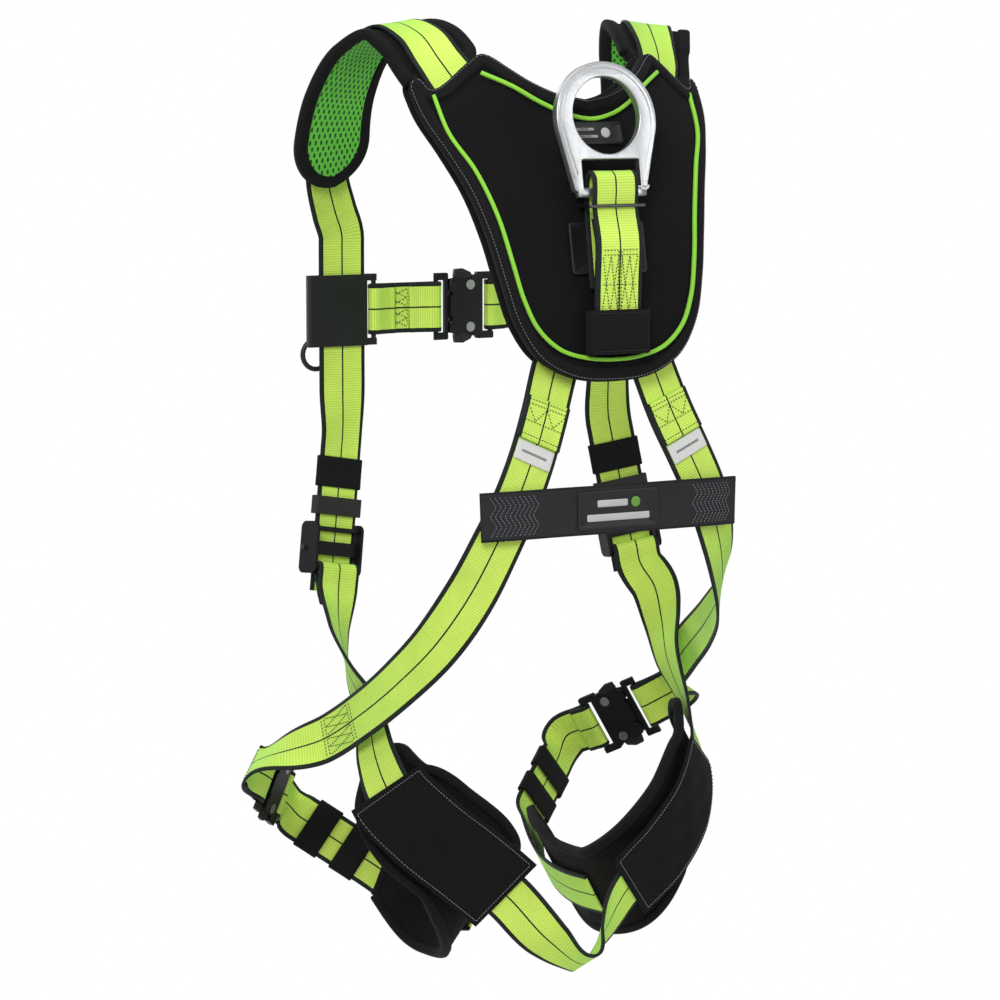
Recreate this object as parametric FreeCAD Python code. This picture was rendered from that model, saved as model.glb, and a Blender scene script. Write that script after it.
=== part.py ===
import FreeCAD, Part
import math
import os

# Full-body fall-arrest harness, laid out as it hangs on a wearer.
# Wearer faces -Y, the wearer's left is +X, +Z is up.  Millimetres.
# The origin is midway between the undersides of the two shoulder pad crowns.

V = FreeCAD.Vector
os.makedirs("parts", exist_ok=True)

# ---------------------------------------------------------------- driving dimensions
WEB_W = 45.0          # width of every load-bearing web
WEB_T = 2.4           # thickness of the web
LAYER_GAP = 0.4       # air between two sewn layers
SLIDE_GAP = 0.4       # air round a piece that slides or turns
BAR_R = 2.2           # round bars that webs are folded over
FOLD_R = BAR_R + SLIDE_GAP + WEB_T / 2.0
FOLD_TAIL = 38.0      # length of a sewn-back web end
STEP = 14.0           # spacing of the sections of a web

SHOULDER_PAD_W = 80.0
SHOULDER_PAD_T = 9.0
BACK_PAD_T = 10.0
LINING_T = 2.0
LEG_PAD_W = 104.0
LEG_PAD_T = 8.0
SLEEVE_W = 66.0
SLEEVE_T = 1.4
BAND_W = 42.0

BUCKLE_PITCH = 56.0   # tongue bar to socket bar, latched
BUCKLE_HALF = 30.0    # half width of the tongue and socket frames
PLATE_T = 2.4         # each socket plate
TONGUE_T = 3.0
HEAD_HALF = 12.0      # half width of the tongue head inside the socket
HEAD_END = 36.0
SOCKET_FRONT = 13.0
SOCKET_BACK = 46.0
RIVET_R = 3.0
RIVET_X = 33.0
RIVET_Y = 19.0
UNLATCH = 23.5        # socket travel that clears the tongue head

RING_W = 98.0
RING_T = 8.0
RING_EYE_R = 34.0
RING_BAR_R = 4.0
RING_SLOT_H = 25.0

CHEST_Z = -240.0      # height of the chest strap
FRONT_X = 138.0       # straight upright stretch of the front webs
FRONT_Y = -137.0
SLIDER_H = 63.0
SLIDER_W = 68.0
KEEPER_H = 24.0


# ---------------------------------------------------------------- small helpers
def unit(v):
    return v * (1.0 / v.Length)


def save(name, *shapes):
    shape = shapes[0] if len(shapes) == 1 else Part.makeCompound(list(shapes))
    shape.exportStep("parts/" + name + ".step")


def flip(points):
    """The same points on the other side of the body."""
    return [(-x, y, z) for x, y, z in points]


def mirror(shape):
    return shape.mirror(V(0, 0, 0), V(1, 0, 0))


class Route:
    """Smooth line through a few points, carrying an outward normal."""

    def __init__(self, points, normals):
        self.p = [V(*q) for q in points]
        self.n = [unit(V(*q)) for q in normals]
        self.s = [0.0]
        for a, b in zip(self.p, self.p[1:]):
            self.s.append(self.s[-1] + (b - a).Length)
        self.length = self.s[-1]
        self.dp = self.slopes(self.p)
        self.dn = self.slopes(self.n)

    def slopes(self, q):
        s = self.s
        steps = [(b - a) * (1.0 / (t - r)) for a, b, r, t in zip(q, q[1:], s, s[1:])]
        inner = []
        for i in range(1, len(q) - 1):
            h0 = s[i] - s[i - 1]
            h1 = s[i + 1] - s[i]
            inner.append((steps[i - 1] * h1 + steps[i] * h0) * (1.0 / (h0 + h1)))
        return [steps[0]] + inner + [steps[-1]]

    def blend(self, q, d, i, u, h):
        a = (1 + 2 * u) * (1 - u) ** 2
        b = u * (1 - u) ** 2 * h
        c = u * u * (3 - 2 * u)
        e = u * u * (u - 1) * h
        return q[i] * a + d[i] * b + q[i + 1] * c + d[i + 1] * e

    def at(self, s):
        """Centre, forward, sideways and outward directions at a distance s."""
        s = min(max(s, 0.0), self.length)
        i = 0
        while i < len(self.s) - 2 and s > self.s[i + 1]:
            i += 1
        h = self.s[i + 1] - self.s[i]
        u = (s - self.s[i]) / h
        centre = self.blend(self.p, self.dp, i, u, h)
        ahead = self.blend(self.p, self.dp, i, min(u + 0.01, 1.0), h)
        behind = self.blend(self.p, self.dp, i, max(u - 0.01, 0.0), h)
        forward = unit(ahead - behind)
        out = self.blend(self.n, self.dn, i, u, h)
        out = unit(out - forward * out.dot(forward))
        return centre, forward, out.cross(forward), out

    def stations(self, start, end):
        marks = [start]
        for a, b in zip(self.s, self.s[1:]):
            count = max(2, int(math.ceil((b - a) / STEP)))
            for k in range(count):
                s = a + (b - a) * k / count
                if marks[-1] + 0.2 < s < end - 0.2:
                    marks.append(s)
        marks.append(end)
        return marks


def stitch_solid(faces):
    shell = Part.Shell(faces)
    shell.sewShape()
    solid = Part.Solid(shell)
    if solid.Volume < 0:
        solid.reverse()
    return solid


def ribbon(route, width, thick, offset=0.0, start=0.0, end=None):
    """Flat strip along a route; width may be a number or a function of 0..1."""
    end = route.length if end is None else end
    sections = []
    for s in route.stations(start, end):
        centre, forward, across, out = route.at(s)
        share = (s - start) / (end - start)
        half = (width(share) if callable(width) else width) / 2.0
        low = centre + out * (offset - thick / 2.0)
        high = centre + out * (offset + thick / 2.0)
        corners = [low - across * half, low + across * half, high + across * half,
                   high - across * half]
        sections.append(Part.makePolygon(corners + [corners[0]]))
    return Part.makeLoft(sections, True, True)


def axes(origin, forward, out):
    """Local frame: x forward, z out, y across."""
    x = unit(V(*forward))
    z = V(*out)
    z = unit(z - x * z.dot(x))
    return V(*origin), x, z.cross(x), z


def place(shape, frame):
    o, x, y, z = frame
    m = FreeCAD.Matrix(x.x, y.x, z.x, o.x, x.y, y.y, z.y, o.y, x.z, y.z, z.z, o.z, 0, 0, 0, 1)
    moved = shape.copy()
    moved.Placement = FreeCAD.Placement(m)
    return moved


def to_world(frame, x, y, z):
    o, fx, fy, fz = frame
    p = o + fx * x + fy * y + fz * z
    return (p.x, p.y, p.z)


def vector_of(frame, x, z):
    v = frame[1] * x + frame[3] * z
    return (v.x, v.y, v.z)


def box(x0, x1, y0, y1, z0, z1):
    return Part.makeBox(x1 - x0, y1 - y0, z1 - z0, V(x0, y0, z0))


def rounded(x0, x1, y0, y1, z0, z1, r):
    """Box with its four upright edges rounded."""
    body = box(x0, x1, y0, y1, z0, z1)
    upright = [e for e in body.Edges if abs(e.tangentAt(e.FirstParameter).z) > 0.9]
    return body.makeFillet(r, upright)


def rod(x, z, half, r):
    """Round bar lying across the web."""
    return Part.makeCylinder(r, 2 * half, V(x, -half, z), V(0, 1, 0))


def fold_over(points, normals, tail):
    """Add a fold round a bar and a sewn-back tail to a web that ends over that bar."""
    main = Route(points, normals)
    end, forward, across, out = main.at(main.length)
    bar = end - out * FOLD_R
    points = list(points)
    normals = list(normals)
    for turn in (40, 90, 140, 180):
        c = math.cos(math.radians(turn))
        s = math.sin(math.radians(turn))
        radial = out * c + forward * s
        p = bar + radial * FOLD_R
        points.append((p.x, p.y, p.z))
        normals.append((radial.x, radial.y, radial.z))
    for back in (10.0, 18.0, (18.0 + tail) / 2.0, tail):
        p, t, w, n = main.at(main.length - back)
        close = max(0.0, 1.0 - back / 18.0)
        depth = WEB_T + LAYER_GAP + (2 * FOLD_R - WEB_T - LAYER_GAP) * close
        q = p - n * depth
        points.append((q.x, q.y, q.z))
        normals.append((-n.x, -n.y, -n.z))
    return points, normals


# ---------------------------------------------------------------- shape of the back
# The outside of the back pad, as a depth y for each (x, z): bowed forward
# toward the neck and falling away to each side.
BACK_Y = 97.0
BACK_Z = -300.0
BOW = 0.00076
SIDE_FALL = 0.0006
SIDE_BOW = 2.67e-8


def back_y(x, z):
    rise = (z - BACK_Z) ** 2
    return BACK_Y - rise * (BOW + SIDE_BOW * x * x) - SIDE_FALL * x * x


def back_normal(x, z):
    rise = z - BACK_Z
    return (2 * x * (SIDE_BOW * rise * rise + SIDE_FALL), 1.0, 2 * rise * (BOW + SIDE_BOW * x * x))


def on_back(x, z, depth):
    return (x, back_y(x, z) - depth, z)


def back_sheet(outer, thick):
    """Sheet that follows the back, its outer face a given depth under the pad face."""
    xs = [-165.0 + 30.0 * k for k in range(12)]
    zs = [15.0 - 27.0 * k for k in range(13)]
    skins = []
    for depth in (outer, outer + thick):
        grid = [[V(*on_back(x, z, depth)) for z in zs] for x in xs]
        skin = Part.BSplineSurface()
        skin.interpolate(grid)
        skins.append(skin.toShape())
    near, far = skins
    rims = []
    for e in near.Edges:
        mid = e.valueAt((e.FirstParameter + e.LastParameter) / 2.0)
        rims.append((e, min(far.Edges, key=lambda f: (f.valueAt(
            (f.FirstParameter + f.LastParameter) / 2.0) - mid).Length)))
    faces = [near.Faces[0], far.Faces[0]]
    faces += [Part.makeRuledSurface(a, b) for a, b in rims]
    return stitch_solid(faces)


# Half outline of the back pad from the neck round to the bottom, as (x, z).
PAD_OUTLINE = [(0, -56), (30, -50), (52, -40), (72, -26), (84, -17), (142, -47), (141, -72),
               (128, -103), (115, -135), (104, -175), (96, -212), (86, -246), (68, -272),
               (42, -286), (0, -291)]


def outline_edges(half):
    """Closed outline: straight across the shoulder seams, smooth elsewhere."""
    def curve(pairs):
        c = Part.BSplineCurve()
        c.interpolate([V(x, -60, z) for x, z in pairs])
        return c.toShape()
    neck = [(-x, z) for x, z in reversed(half[1:5])] + half[:5]
    side = half[5:] + [(-x, z) for x, z in reversed(half[5:-1])]
    seams = []
    for sign in (1, -1):
        a = V(sign * half[4][0], -60, half[4][1])
        b = V(sign * half[5][0], -60, half[5][1])
        seams.append(Part.makeLine(a, b))
    return [curve(neck), seams[0], curve(side), seams[1]]


def cut_from_back(half, outer, thick):
    wire = Part.Wire(Part.__sortEdges__(outline_edges(half)))
    prism = Part.Face(wire).extrude(V(0, 240, 0))
    return back_sheet(outer, thick).common(prism).Solids[0]


BOW_GAP = 2.3         # a flat web needs this much more room on the bowed pad
WEB_DEPTH_A = BACK_PAD_T + LAYER_GAP + WEB_T / 2.0 + BOW_GAP
WEB_DEPTH_B = WEB_DEPTH_A + WEB_T + 2 * LAYER_GAP
LINING_DEPTH = WEB_DEPTH_B + WEB_T / 2.0 + LAYER_GAP + BOW_GAP

back_pad = cut_from_back(PAD_OUTLINE, 0.0, BACK_PAD_T)
LINING_OUTLINE = [(x * 0.96, z - (4 if i < 6 else -4)) for i, (x, z) in enumerate(PAD_OUTLINE)]
back_lining = cut_from_back(LINING_OUTLINE, LINING_DEPTH, LINING_T)
save("back_pad", back_pad)
save("back_lining", back_lining)

# Lime piping laid on the pad: one run round the body, one round the neck.
PIPE_W = 3.0
PIPE_T = 2.0
PIPE_LINE = [(128, -50), (124, -82), (110, -112), (98, -150), (90, -190), (83, -220), (72, -244),
             (52, -262), (26, -270), (0, -272)]
NECK_LINE = [(88, -31), (66, -42), (44, -56), (22, -66), (0, -70)]


def pipe_run(half):
    pairs = half + [(-x, z) for x, z in reversed(half[:-1])]
    points = [on_back(x, z, -0.9) for x, z in pairs]
    normals = [back_normal(x, z) for x, z in pairs]
    return ribbon(Route(points, normals), PIPE_W, PIPE_T, offset=PIPE_T / 2.0)


save("back_piping", pipe_run(PIPE_LINE), pipe_run(NECK_LINE))


# ---------------------------------------------------------------- shoulder webs and pads
# From the crossing behind the dorsal ring, over the shoulder and down the front.
CROSS_Z = -165.0


HIDDEN = [(1.5, CROSS_Z + 2), (20, -143), (45, -113), (70, -84), (88, -60), (102, -40)]


def hidden_web(side, depth):
    return [on_back(side * x, z, depth) for x, z in HIDDEN]


OVER_SHOULDER = [(110, -9, -21), (117, -31, 1), (128, -58, 10.6), (144, -88, -7), (157, -108, -46),
                 (161, -118, -90), (157, -126, -126), (147, -133, -152)]
OVER_N = [(0.3, 0.62, 0.74), (0.22, 0.3, 0.93), (0.25, -0.3, 0.92), (0.35, -0.72, 0.6),
          (0.32, -0.92, 0.2), (0.2, -0.97, 0.05), (0.1, -0.99, 0.0), (0.02, -1, 0)]
FRONT_TOP_Z = -184.0
FRONT_LOW_Z = -300.0
UPRIGHT = [(FRONT_X, FRONT_Y, z) for z in (FRONT_TOP_Z + 9, FRONT_TOP_Z, FRONT_LOW_Z,
                                           FRONT_LOW_Z - 9)]
FRONT_N = (0, -1, 0)
TORSO_AXIS = unit(V(16, 12, -104))
TORSO_TOP = V(139, -136.5, -352)


def torso_point(s):
    p = TORSO_TOP + TORSO_AXIS * s
    return (p.x, p.y, p.z)


TORSO_N = (0.20, -0.98, -0.08)
FRONT_TAIL_S = 138.0
LOWER_FRONT = [torso_point(s) for s in (0, 8, FRONT_TAIL_S - 8, FRONT_TAIL_S)]


def shoulder_route(side, depth):
    hidden = hidden_web(side, depth)
    visible = OVER_SHOULDER + UPRIGHT + LOWER_FRONT
    visible_n = OVER_N + [FRONT_N] * 4 + [TORSO_N] * 4
    if side < 0:
        visible = flip(visible)
        visible_n = flip(visible_n)
    hidden_n = [back_normal(side * x, z) for x, z in HIDDEN]
    return Route(hidden + visible, hidden_n + visible_n)


SHOULDER_ROUTES = {"left": shoulder_route(1, WEB_DEPTH_A), "right": shoulder_route(-1, WEB_DEPTH_B)}


def pad_width(share):
    """Full width, drawn in at the seam and rounded at the front tip."""
    seam = 0.82 + 0.18 * min(1.0, share / 0.15)
    tip = max(0.0, (share - 0.84) / 0.16)
    return SHOULDER_PAD_W * seam * math.sqrt(max(0.09, 1.0 - tip * tip))


for side, route in SHOULDER_ROUTES.items():
    save(side + "_shoulder_web", ribbon(route, WEB_W, WEB_T))
    start = route.s[6] + 1.0
    end = route.s[12]
    depth = -(WEB_T / 2.0 + LAYER_GAP + SHOULDER_PAD_T / 2.0)
    save(side + "_shoulder_pad", ribbon(route, pad_width, SHOULDER_PAD_T, depth, start, end))


# ---------------------------------------------------------------- hip webs
# From the crossing, out under the back pad, round the hip and forward over
# the thigh to the leg buckle tongue.
LEG_BUCKLES = {
    "left": axes((204, -160, -657), (-0.60, -0.66, -0.44), (0.62, -0.76, 0.2)),
    "right": axes((-200, -168, -628), (0.56, -0.70, -0.42), (-0.66, -0.72, 0.2)),
}


def hip_points(side, depth, lift):
    k = 1 if side == "left" else -1
    under = [(k * 1.5, CROSS_Z - 4), (k * 14, -195), (k * 30, -234), (k * 47, -278)]
    hidden = [on_back(x, z, depth) for x, z in under]
    run = [(64, 86, -322), (79, 92, -356), (95, 94, -390), (110, 88, -424), (125, 74, -464),
           (143, 44, -512), (157, 2, -551), (168, -46, -585), (180, -90, -612)]
    run = [(x, y, z + lift * max(0.0, min(1.0, (-z - 420) / 150.0))) for x, y, z in run]
    buckle = LEG_BUCKLES[side]
    near = [to_world(buckle, -26, 0, FOLD_R + 3.0), to_world(buckle, -10, 0, FOLD_R),
            to_world(buckle, 0, 0, FOLD_R)]
    points = hidden + (run if k > 0 else flip(run)) + near
    run_n = [(0.0, 1, 0.1), (0.03, 1, 0.05), (0.1, 1, 0), (0.22, 0.97, 0), (0.4, 0.9, 0.05),
             (0.72, 0.68, 0.1), (0.93, 0.36, 0.1), (0.98, 0.15, 0.12), (0.98, 0.05, 0.15)]
    out = vector_of(buckle, 0, 1)
    normals = [back_normal(x, z) for x, z in under] + (run_n if k > 0 else flip(run_n)) + [out] * 3
    return points, normals


HIP_LIFT = {"left": 0.0, "right": 32.0}
HIP_DEPTH = {"left": WEB_DEPTH_B, "right": WEB_DEPTH_A}
HIP_ROUTES = {}
for side in ("left", "right"):
    points, normals = hip_points(side, HIP_DEPTH[side], HIP_LIFT[side])
    HIP_ROUTES[side] = Route(points, normals)
    points, normals = fold_over(points, normals, FOLD_TAIL)
    save(side + "_hip_web", ribbon(Route(points, normals), WEB_W, WEB_T))

# Load indicator: a doubled pleat sewn on each hip web, with its label below.
INDICATOR_AT = 150.0
INDICATOR_L = 38.0
LABEL_T = 0.8
pleats = []
labels = []
for side in ("left", "right"):
    route = HIP_ROUTES[side]
    rise = WEB_T / 2.0 + LAYER_GAP + WEB_T / 2.0
    pleats.append(ribbon(route, WEB_W - 1.0, WEB_T, rise, INDICATOR_AT, INDICATOR_AT + INDICATOR_L))
    tab = WEB_T / 2.0 + LAYER_GAP + LABEL_T / 2.0
    low = INDICATOR_AT + INDICATOR_L + 1.5
    labels.append(ribbon(route, WEB_W - 8.0, LABEL_T, tab, low, low + 17.0))
save("load_pleats", *pleats)
save("load_labels", *labels)


# ---------------------------------------------------------------- cross band
BAND_Z = -399.0
BAND_RISE = WEB_T / 2.0 + LAYER_GAP + WEB_T / 2.0


def band_route():
    points = []
    normals = []
    for side in ("left", "right"):
        route = HIP_ROUTES[side]
        s = INDICATOR_AT
        while route.at(s)[0].z > BAND_Z:
            s += 0.5
        centre, t, w, n = route.at(s)
        points.append(centre + n * (BAND_RISE + 3.1))
        normals.append(n)
    left, right = points
    k = V(1, 0, 0)
    ends = [left + k * 27 + V(0, -8, -1), left, V(60, left.y + 2.5, BAND_Z),
            V(0, left.y + 4.0, BAND_Z), V(-60, right.y + 2.5, BAND_Z), right,
            right - k * 27 + V(0, -8, -1)]
    outs = [(0.42, 0.9, 0), (0.22, 0.97, 0), (0.05, 1, 0), (0, 1, 0), (-0.05, 1, 0),
            (-0.22, 0.97, 0), (-0.42, 0.9, 0)]
    return Route([(p.x, p.y, p.z) for p in ends], outs)


BAND = band_route()
save("cross_band", ribbon(BAND, BAND_W, WEB_T))
mid = BAND.length / 2.0
save("band_label", ribbon(BAND, 33.0, LABEL_T, WEB_T / 2.0 + LAYER_GAP + LABEL_T / 2.0,
                          mid - 40.0, mid + 40.0))


# ---------------------------------------------------------------- torso adjusters
# Frame with two side cheeks and two cross bars; the front web runs over the
# bars and a toothed cam on a pin bites it; the lower web is folded over the
# bottom bar.
ADJUST_S = 100.0      # cam position along the lower front web
CHEEK_T = 2.6
CHEEK_IN = WEB_W / 2.0 + 1.0
CHEEK_L = 46.0
CAM_R = 7.0
CAM_UP = WEB_T / 2.0 + SLIDE_GAP + CAM_R
PIN_R = 2.5
LOWER_BAR_X = 17.0
LOWER_BAR_Z = -(WEB_T / 2.0 + SLIDE_GAP + WEB_T + SLIDE_GAP + BAR_R) - 0.4


def adjuster_frame():
    cheeks = []
    for y0 in (CHEEK_IN, -CHEEK_IN - CHEEK_T):
        cheek = box(-CHEEK_L / 2, CHEEK_L / 2, y0, y0 + CHEEK_T, -9.5, 14.0)
        rounded_edges = [e for e in cheek.Edges if abs(e.tangentAt(e.FirstParameter).y) > 0.9]
        cheeks.append(cheek.makeFillet(6.0, rounded_edges))
    half = CHEEK_IN + 0.5
    bars = [rod(LOWER_BAR_X, LOWER_BAR_Z, half, BAR_R), rod(-LOWER_BAR_X, -3.9, half, BAR_R),
            box(-6, 6, -half, half, -4.6, -WEB_T / 2.0 - SLIDE_GAP)]
    frame = cheeks[0].fuse([cheeks[1]] + bars)
    hole = rod(0, CAM_UP, 60, PIN_R + 0.1)
    return frame.cut(hole).removeSplitter()


def adjuster_cam():
    half = CHEEK_IN - SLIDE_GAP
    drum = rod(0, CAM_UP, half, CAM_R)
    for k in range(12):
        a = math.radians(30 * k + 15)
        drum = drum.cut(rod(CAM_R * math.cos(a), CAM_UP + CAM_R * math.sin(a), half + 1, 0.7))
    pin = rod(0, CAM_UP, CHEEK_IN + CHEEK_T + 1.6, PIN_R)
    tab = rounded(-34, -4, -15, 15, CAM_UP - 1.2, CAM_UP + 1.4, 5)
    return drum.fuse([pin, tab]).removeSplitter()


# ---------------------------------------------------------------- pelvic web
# One web: left adjuster, left hip, left thigh sleeve, behind the seat, and
# up the other side the same way.
def adjuster_axes(side):
    k = 1 if side == "left" else -1
    x, y, z = torso_point(ADJUST_S)
    t = TORSO_AXIS
    n = TORSO_N
    return axes((k * x, y, z), (k * t.x, t.y, t.z), (k * n[0], n[1], n[2]))


ADJUSTERS = {"left": adjuster_axes("left"), "right": adjuster_axes("right")}

HIP_INSIDE = {
    "left": [(165, -94, -518), (164.5, -77, -550), (157, -54, -586), (160, -34, -622),
             (158, -12, -650), (136, 10, -680), (100, 22, -712), (60, 22, -746), (26, 36, -786)],
    "right": [(163, -94, -502), (161, -78, -528), (153, -55, -562), (160, -34, -606),
              (158, -12, -646), (136, 10, -684), (100, 22, -720), (60, 22, -754), (26, 36, -788)],
}
HIP_INSIDE_N = [(0.62, -0.76, 0), (0.9, -0.42, 0.0), (0.99, 0.0, 0.1), (0.9, 0.42, 0.1),
                (0.68, 0.72, 0.08), (0.38, 0.9, -0.1), (0.16, 0.95, -0.2), (0.06, 0.93, -0.35),
                (0.04, 0.75, -0.65)]
SEAT_LOW = (0, 50, -806)


def lower_start(side):
    """From the fold over the lower adjuster bar down to the first free point."""
    f = ADJUSTERS[side]
    return [to_world(f, LOWER_BAR_X, 0, LOWER_BAR_Z - FOLD_R),
            to_world(f, LOWER_BAR_X + 14, 0, LOWER_BAR_Z - FOLD_R)]


def pelvic_half(side):
    n_hip = HIP_INSIDE_N if side == "left" else flip(HIP_INSIDE_N)
    hip = HIP_INSIDE[side] if side == "left" else flip(HIP_INSIDE[side])
    out = vector_of(ADJUSTERS[side], 0, 1)
    return lower_start(side) + hip, [out, out] + n_hip


def fold_up(side, points, normals):
    """Sewn-back end on the outer side of the web at an adjuster bar."""
    back = [tuple(-c for c in n) for n in normals]
    return fold_over(list(reversed(points)), list(reversed(back)), FOLD_TAIL)


left_p, left_n = pelvic_half("left")
right_p, right_n = pelvic_half("right")
PELVIC = Route(left_p + [SEAT_LOW] + list(reversed(right_p)),
               left_n + [(0, 0.5, -0.87)] + list(reversed(right_n)))
start_p, start_n = fold_up("left", left_p[:4], left_n[:4])
end_p, end_n = fold_up("right", right_p[:4], right_n[:4])
start_p = list(reversed(start_p[4:]))
start_n = [tuple(-c for c in n) for n in reversed(start_n[4:])]
end_p = end_p[4:]
end_n = [tuple(-c for c in n) for n in end_n[4:]]
full_p = start_p + left_p + [SEAT_LOW] + list(reversed(right_p)) + end_p
full_n = start_n + left_n + [(0, 0.5, -0.87)] + list(reversed(right_n)) + end_n
save("sub_pelvic_web", ribbon(Route(full_p, full_n), WEB_W, WEB_T))

for side in ("left", "right"):
    save(side + "_adjuster_frame", place(adjuster_frame(), ADJUSTERS[side]))
    save(side + "_adjuster_cam", place(adjuster_cam(), ADJUSTERS[side]))


# ---------------------------------------------------------------- quick-connect buckles
HALF_CORE = TONGUE_T / 2.0 + SLIDE_GAP
SOCKET_TOP = HALF_CORE + PLATE_T
LOOP_LEG = 16.0
WEB_LIFT = FOLD_R + WEB_T + LAYER_GAP     # main web above the socket bar
LEVER_T = 2 * HALF_CORE - 0.4


def tongue():
    h = TONGUE_T / 2.0
    arm = BUCKLE_HALF - WEB_W / 2.0 - 1.0
    cross = rounded(8.0, SOCKET_FRONT - 1.0, -BUCKLE_HALF, BUCKLE_HALF, -h, h, 1.5)
    arms = [box(-1.0, 9.5, y, y + arm, -h, h) for y in (-BUCKLE_HALF, BUCKLE_HALF - arm)]
    head = rounded(10.0, HEAD_END, -HEAD_HALF, HEAD_HALF, -h, h, 3.0)
    window = rounded(20.0, 28.0, -5.0, 5.0, -h, h, 2.0)
    bar = rod(0, 0, BUCKLE_HALF, BAR_R)
    return cross.fuse(arms + [head, bar]).cut(window).removeSplitter()


def socket_plate():
    """One plate: a waisted outline with a scalloped front edge."""
    half = [(SOCKET_FRONT, 0), (SOCKET_FRONT, 8), (SOCKET_FRONT + 3, 11), (SOCKET_FRONT, 15),
            (SOCKET_FRONT + 1, 24), (22, 25.5), (30, 23.5), (38, 25.5), (SOCKET_BACK, 27.5)]
    ring = [V(x, y, 0) for x, y in half] + [V(x, -y, 0) for x, y in reversed(half[1:])]
    return Part.Face(Part.makePolygon(ring + [ring[0]])).extrude(V(0, 0, PLATE_T))


def socket():
    upper = socket_plate()
    upper.translate(V(0, 0, HALF_CORE))
    lower = socket_plate()
    lower.translate(V(0, 0, -HALF_CORE - PLATE_T))
    core = box(HEAD_END + 2.0, SOCKET_BACK, -27.5, 27.5, -SOCKET_TOP, SOCKET_TOP)
    arm = BUCKLE_HALF - WEB_W / 2.0 - 1.0
    arms = []
    for y in (-BUCKLE_HALF, BUCKLE_HALF - arm):
        arms.append(rounded(SOCKET_BACK - 5.0, BUCKLE_PITCH + 2.2, y, y + arm, -2.4, 2.4, 1.5))
    bar = rod(BUCKLE_PITCH, 0, BUCKLE_HALF - 0.5, BAR_R)
    body = upper.fuse([lower, core, bar] + arms)
    for y in (-RIVET_Y, RIVET_Y):
        body = body.cut(Part.makeCylinder(RIVET_R + 0.05, 20, V(RIVET_X, y, -10)))
        body = body.cut(Part.makeCylinder(LEVER_T + 4.6, 2 * HALF_CORE, V(RIVET_X, y, -HALF_CORE)))
    return body.removeSplitter()


def rivets():
    heads = []
    for y in (-RIVET_Y, RIVET_Y):
        pin = Part.makeCylinder(RIVET_R, 2 * SOCKET_TOP, V(RIVET_X, y, -SOCKET_TOP))
        top = Part.makeCylinder(RIVET_R + 1.4, 0.9, V(RIVET_X, y, SOCKET_TOP))
        low = Part.makeCylinder(RIVET_R + 1.4, 0.9, V(RIVET_X, y, -SOCKET_TOP - 0.9))
        heads.append(pin.fuse([top, low]).removeSplitter())
    return Part.makeCompound(heads)


def lever(sign):
    """Release lever on its rivet; the ear stands out past the plates."""
    h = LEVER_T / 2.0
    hub = Part.makeCylinder(RIVET_R + 2.6, LEVER_T, V(RIVET_X, sign * RIVET_Y, -h))
    outline = [(RIVET_X - 13, 19.5), (RIVET_X - 4, 14.5), (RIVET_X + 3, 15), (RIVET_X + 5, 20),
               (RIVET_X + 5, 24), (RIVET_X + 2, 30), (RIVET_X - 6, 33.5), (RIVET_X - 14, 33),
               (RIVET_X - 15, 27)]
    ring = [V(x, sign * y, -h) for x, y in outline]
    blade = Part.Face(Part.makePolygon(ring + [ring[0]])).extrude(V(0, 0, LEVER_T))
    hole = Part.makeCylinder(RIVET_R + SLIDE_GAP / 2, 20, V(RIVET_X, sign * RIVET_Y, -10))
    return hub.fuse(blade).cut(hole).removeSplitter()


def socket_loop(frame):
    """Short web loop round the socket bar; it slides under the main web."""
    far = BUCKLE_PITCH + LOOP_LEG
    pts = [(far, FOLD_R), (BUCKLE_PITCH + 8, FOLD_R), (BUCKLE_PITCH, FOLD_R)]
    nrm = [(0, 1), (0, 1), (0, 1)]
    for turn in (45, 90, 135, 180):
        c = math.cos(math.radians(turn))
        s = math.sin(math.radians(turn))
        pts.append((BUCKLE_PITCH - FOLD_R * s, FOLD_R * c))
        nrm.append((-s, c))
    pts += [(BUCKLE_PITCH + 8, -1.6), (far, FOLD_R - WEB_T - LAYER_GAP)]
    nrm += [(0.2, -1), (0.1, -1)]
    points = [to_world(frame, x, 0, z) for x, z in pts]
    normals = [vector_of(frame, x, z) for x, z in nrm]
    return ribbon(Route(points, normals), WEB_W, WEB_T)


def save_buckle(name, frame):
    save(name + "_tongue", place(tongue(), frame))
    save(name + "_socket", place(socket(), frame))
    save(name + "_rivets", *[place(s, frame) for s in rivets().Solids])
    save(name + "_upper_lever", place(lever(1), frame))
    save(name + "_lower_lever", place(lever(-1), frame))
    save(name + "_socket_loop", socket_loop(frame))


# ---------------------------------------------------------------- legs
for side in ("left", "right"):
    save_buckle(side + "_leg", LEG_BUCKLES[side])

STRAIGHT_END = BUCKLE_PITCH + LOOP_LEG + UNLATCH + 7.5
KEEPER_LINE = {"left": ((137, -227, -712), (85, -185, -753)),
               "right": ((-142, -233, -685), (-90, -196, -725))}
LEG_RUN = {
    "left": [(76, -166, -762), (58, -110, -774), (56, -60, -772), (60, -30, -766)],
    "right": [(-80, -175, -738), (-60, -112, -762), (-56, -60, -768), (-60, -30, -768)],
}
KEEPER_N = (-0.42, -0.85, -0.3)
LEG_RUN_N = [(-0.66, -0.62, -0.4), (-0.85, -0.15, -0.5), (-0.85, 0.1, -0.5), (-0.8, 0.3, -0.5)]


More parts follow.
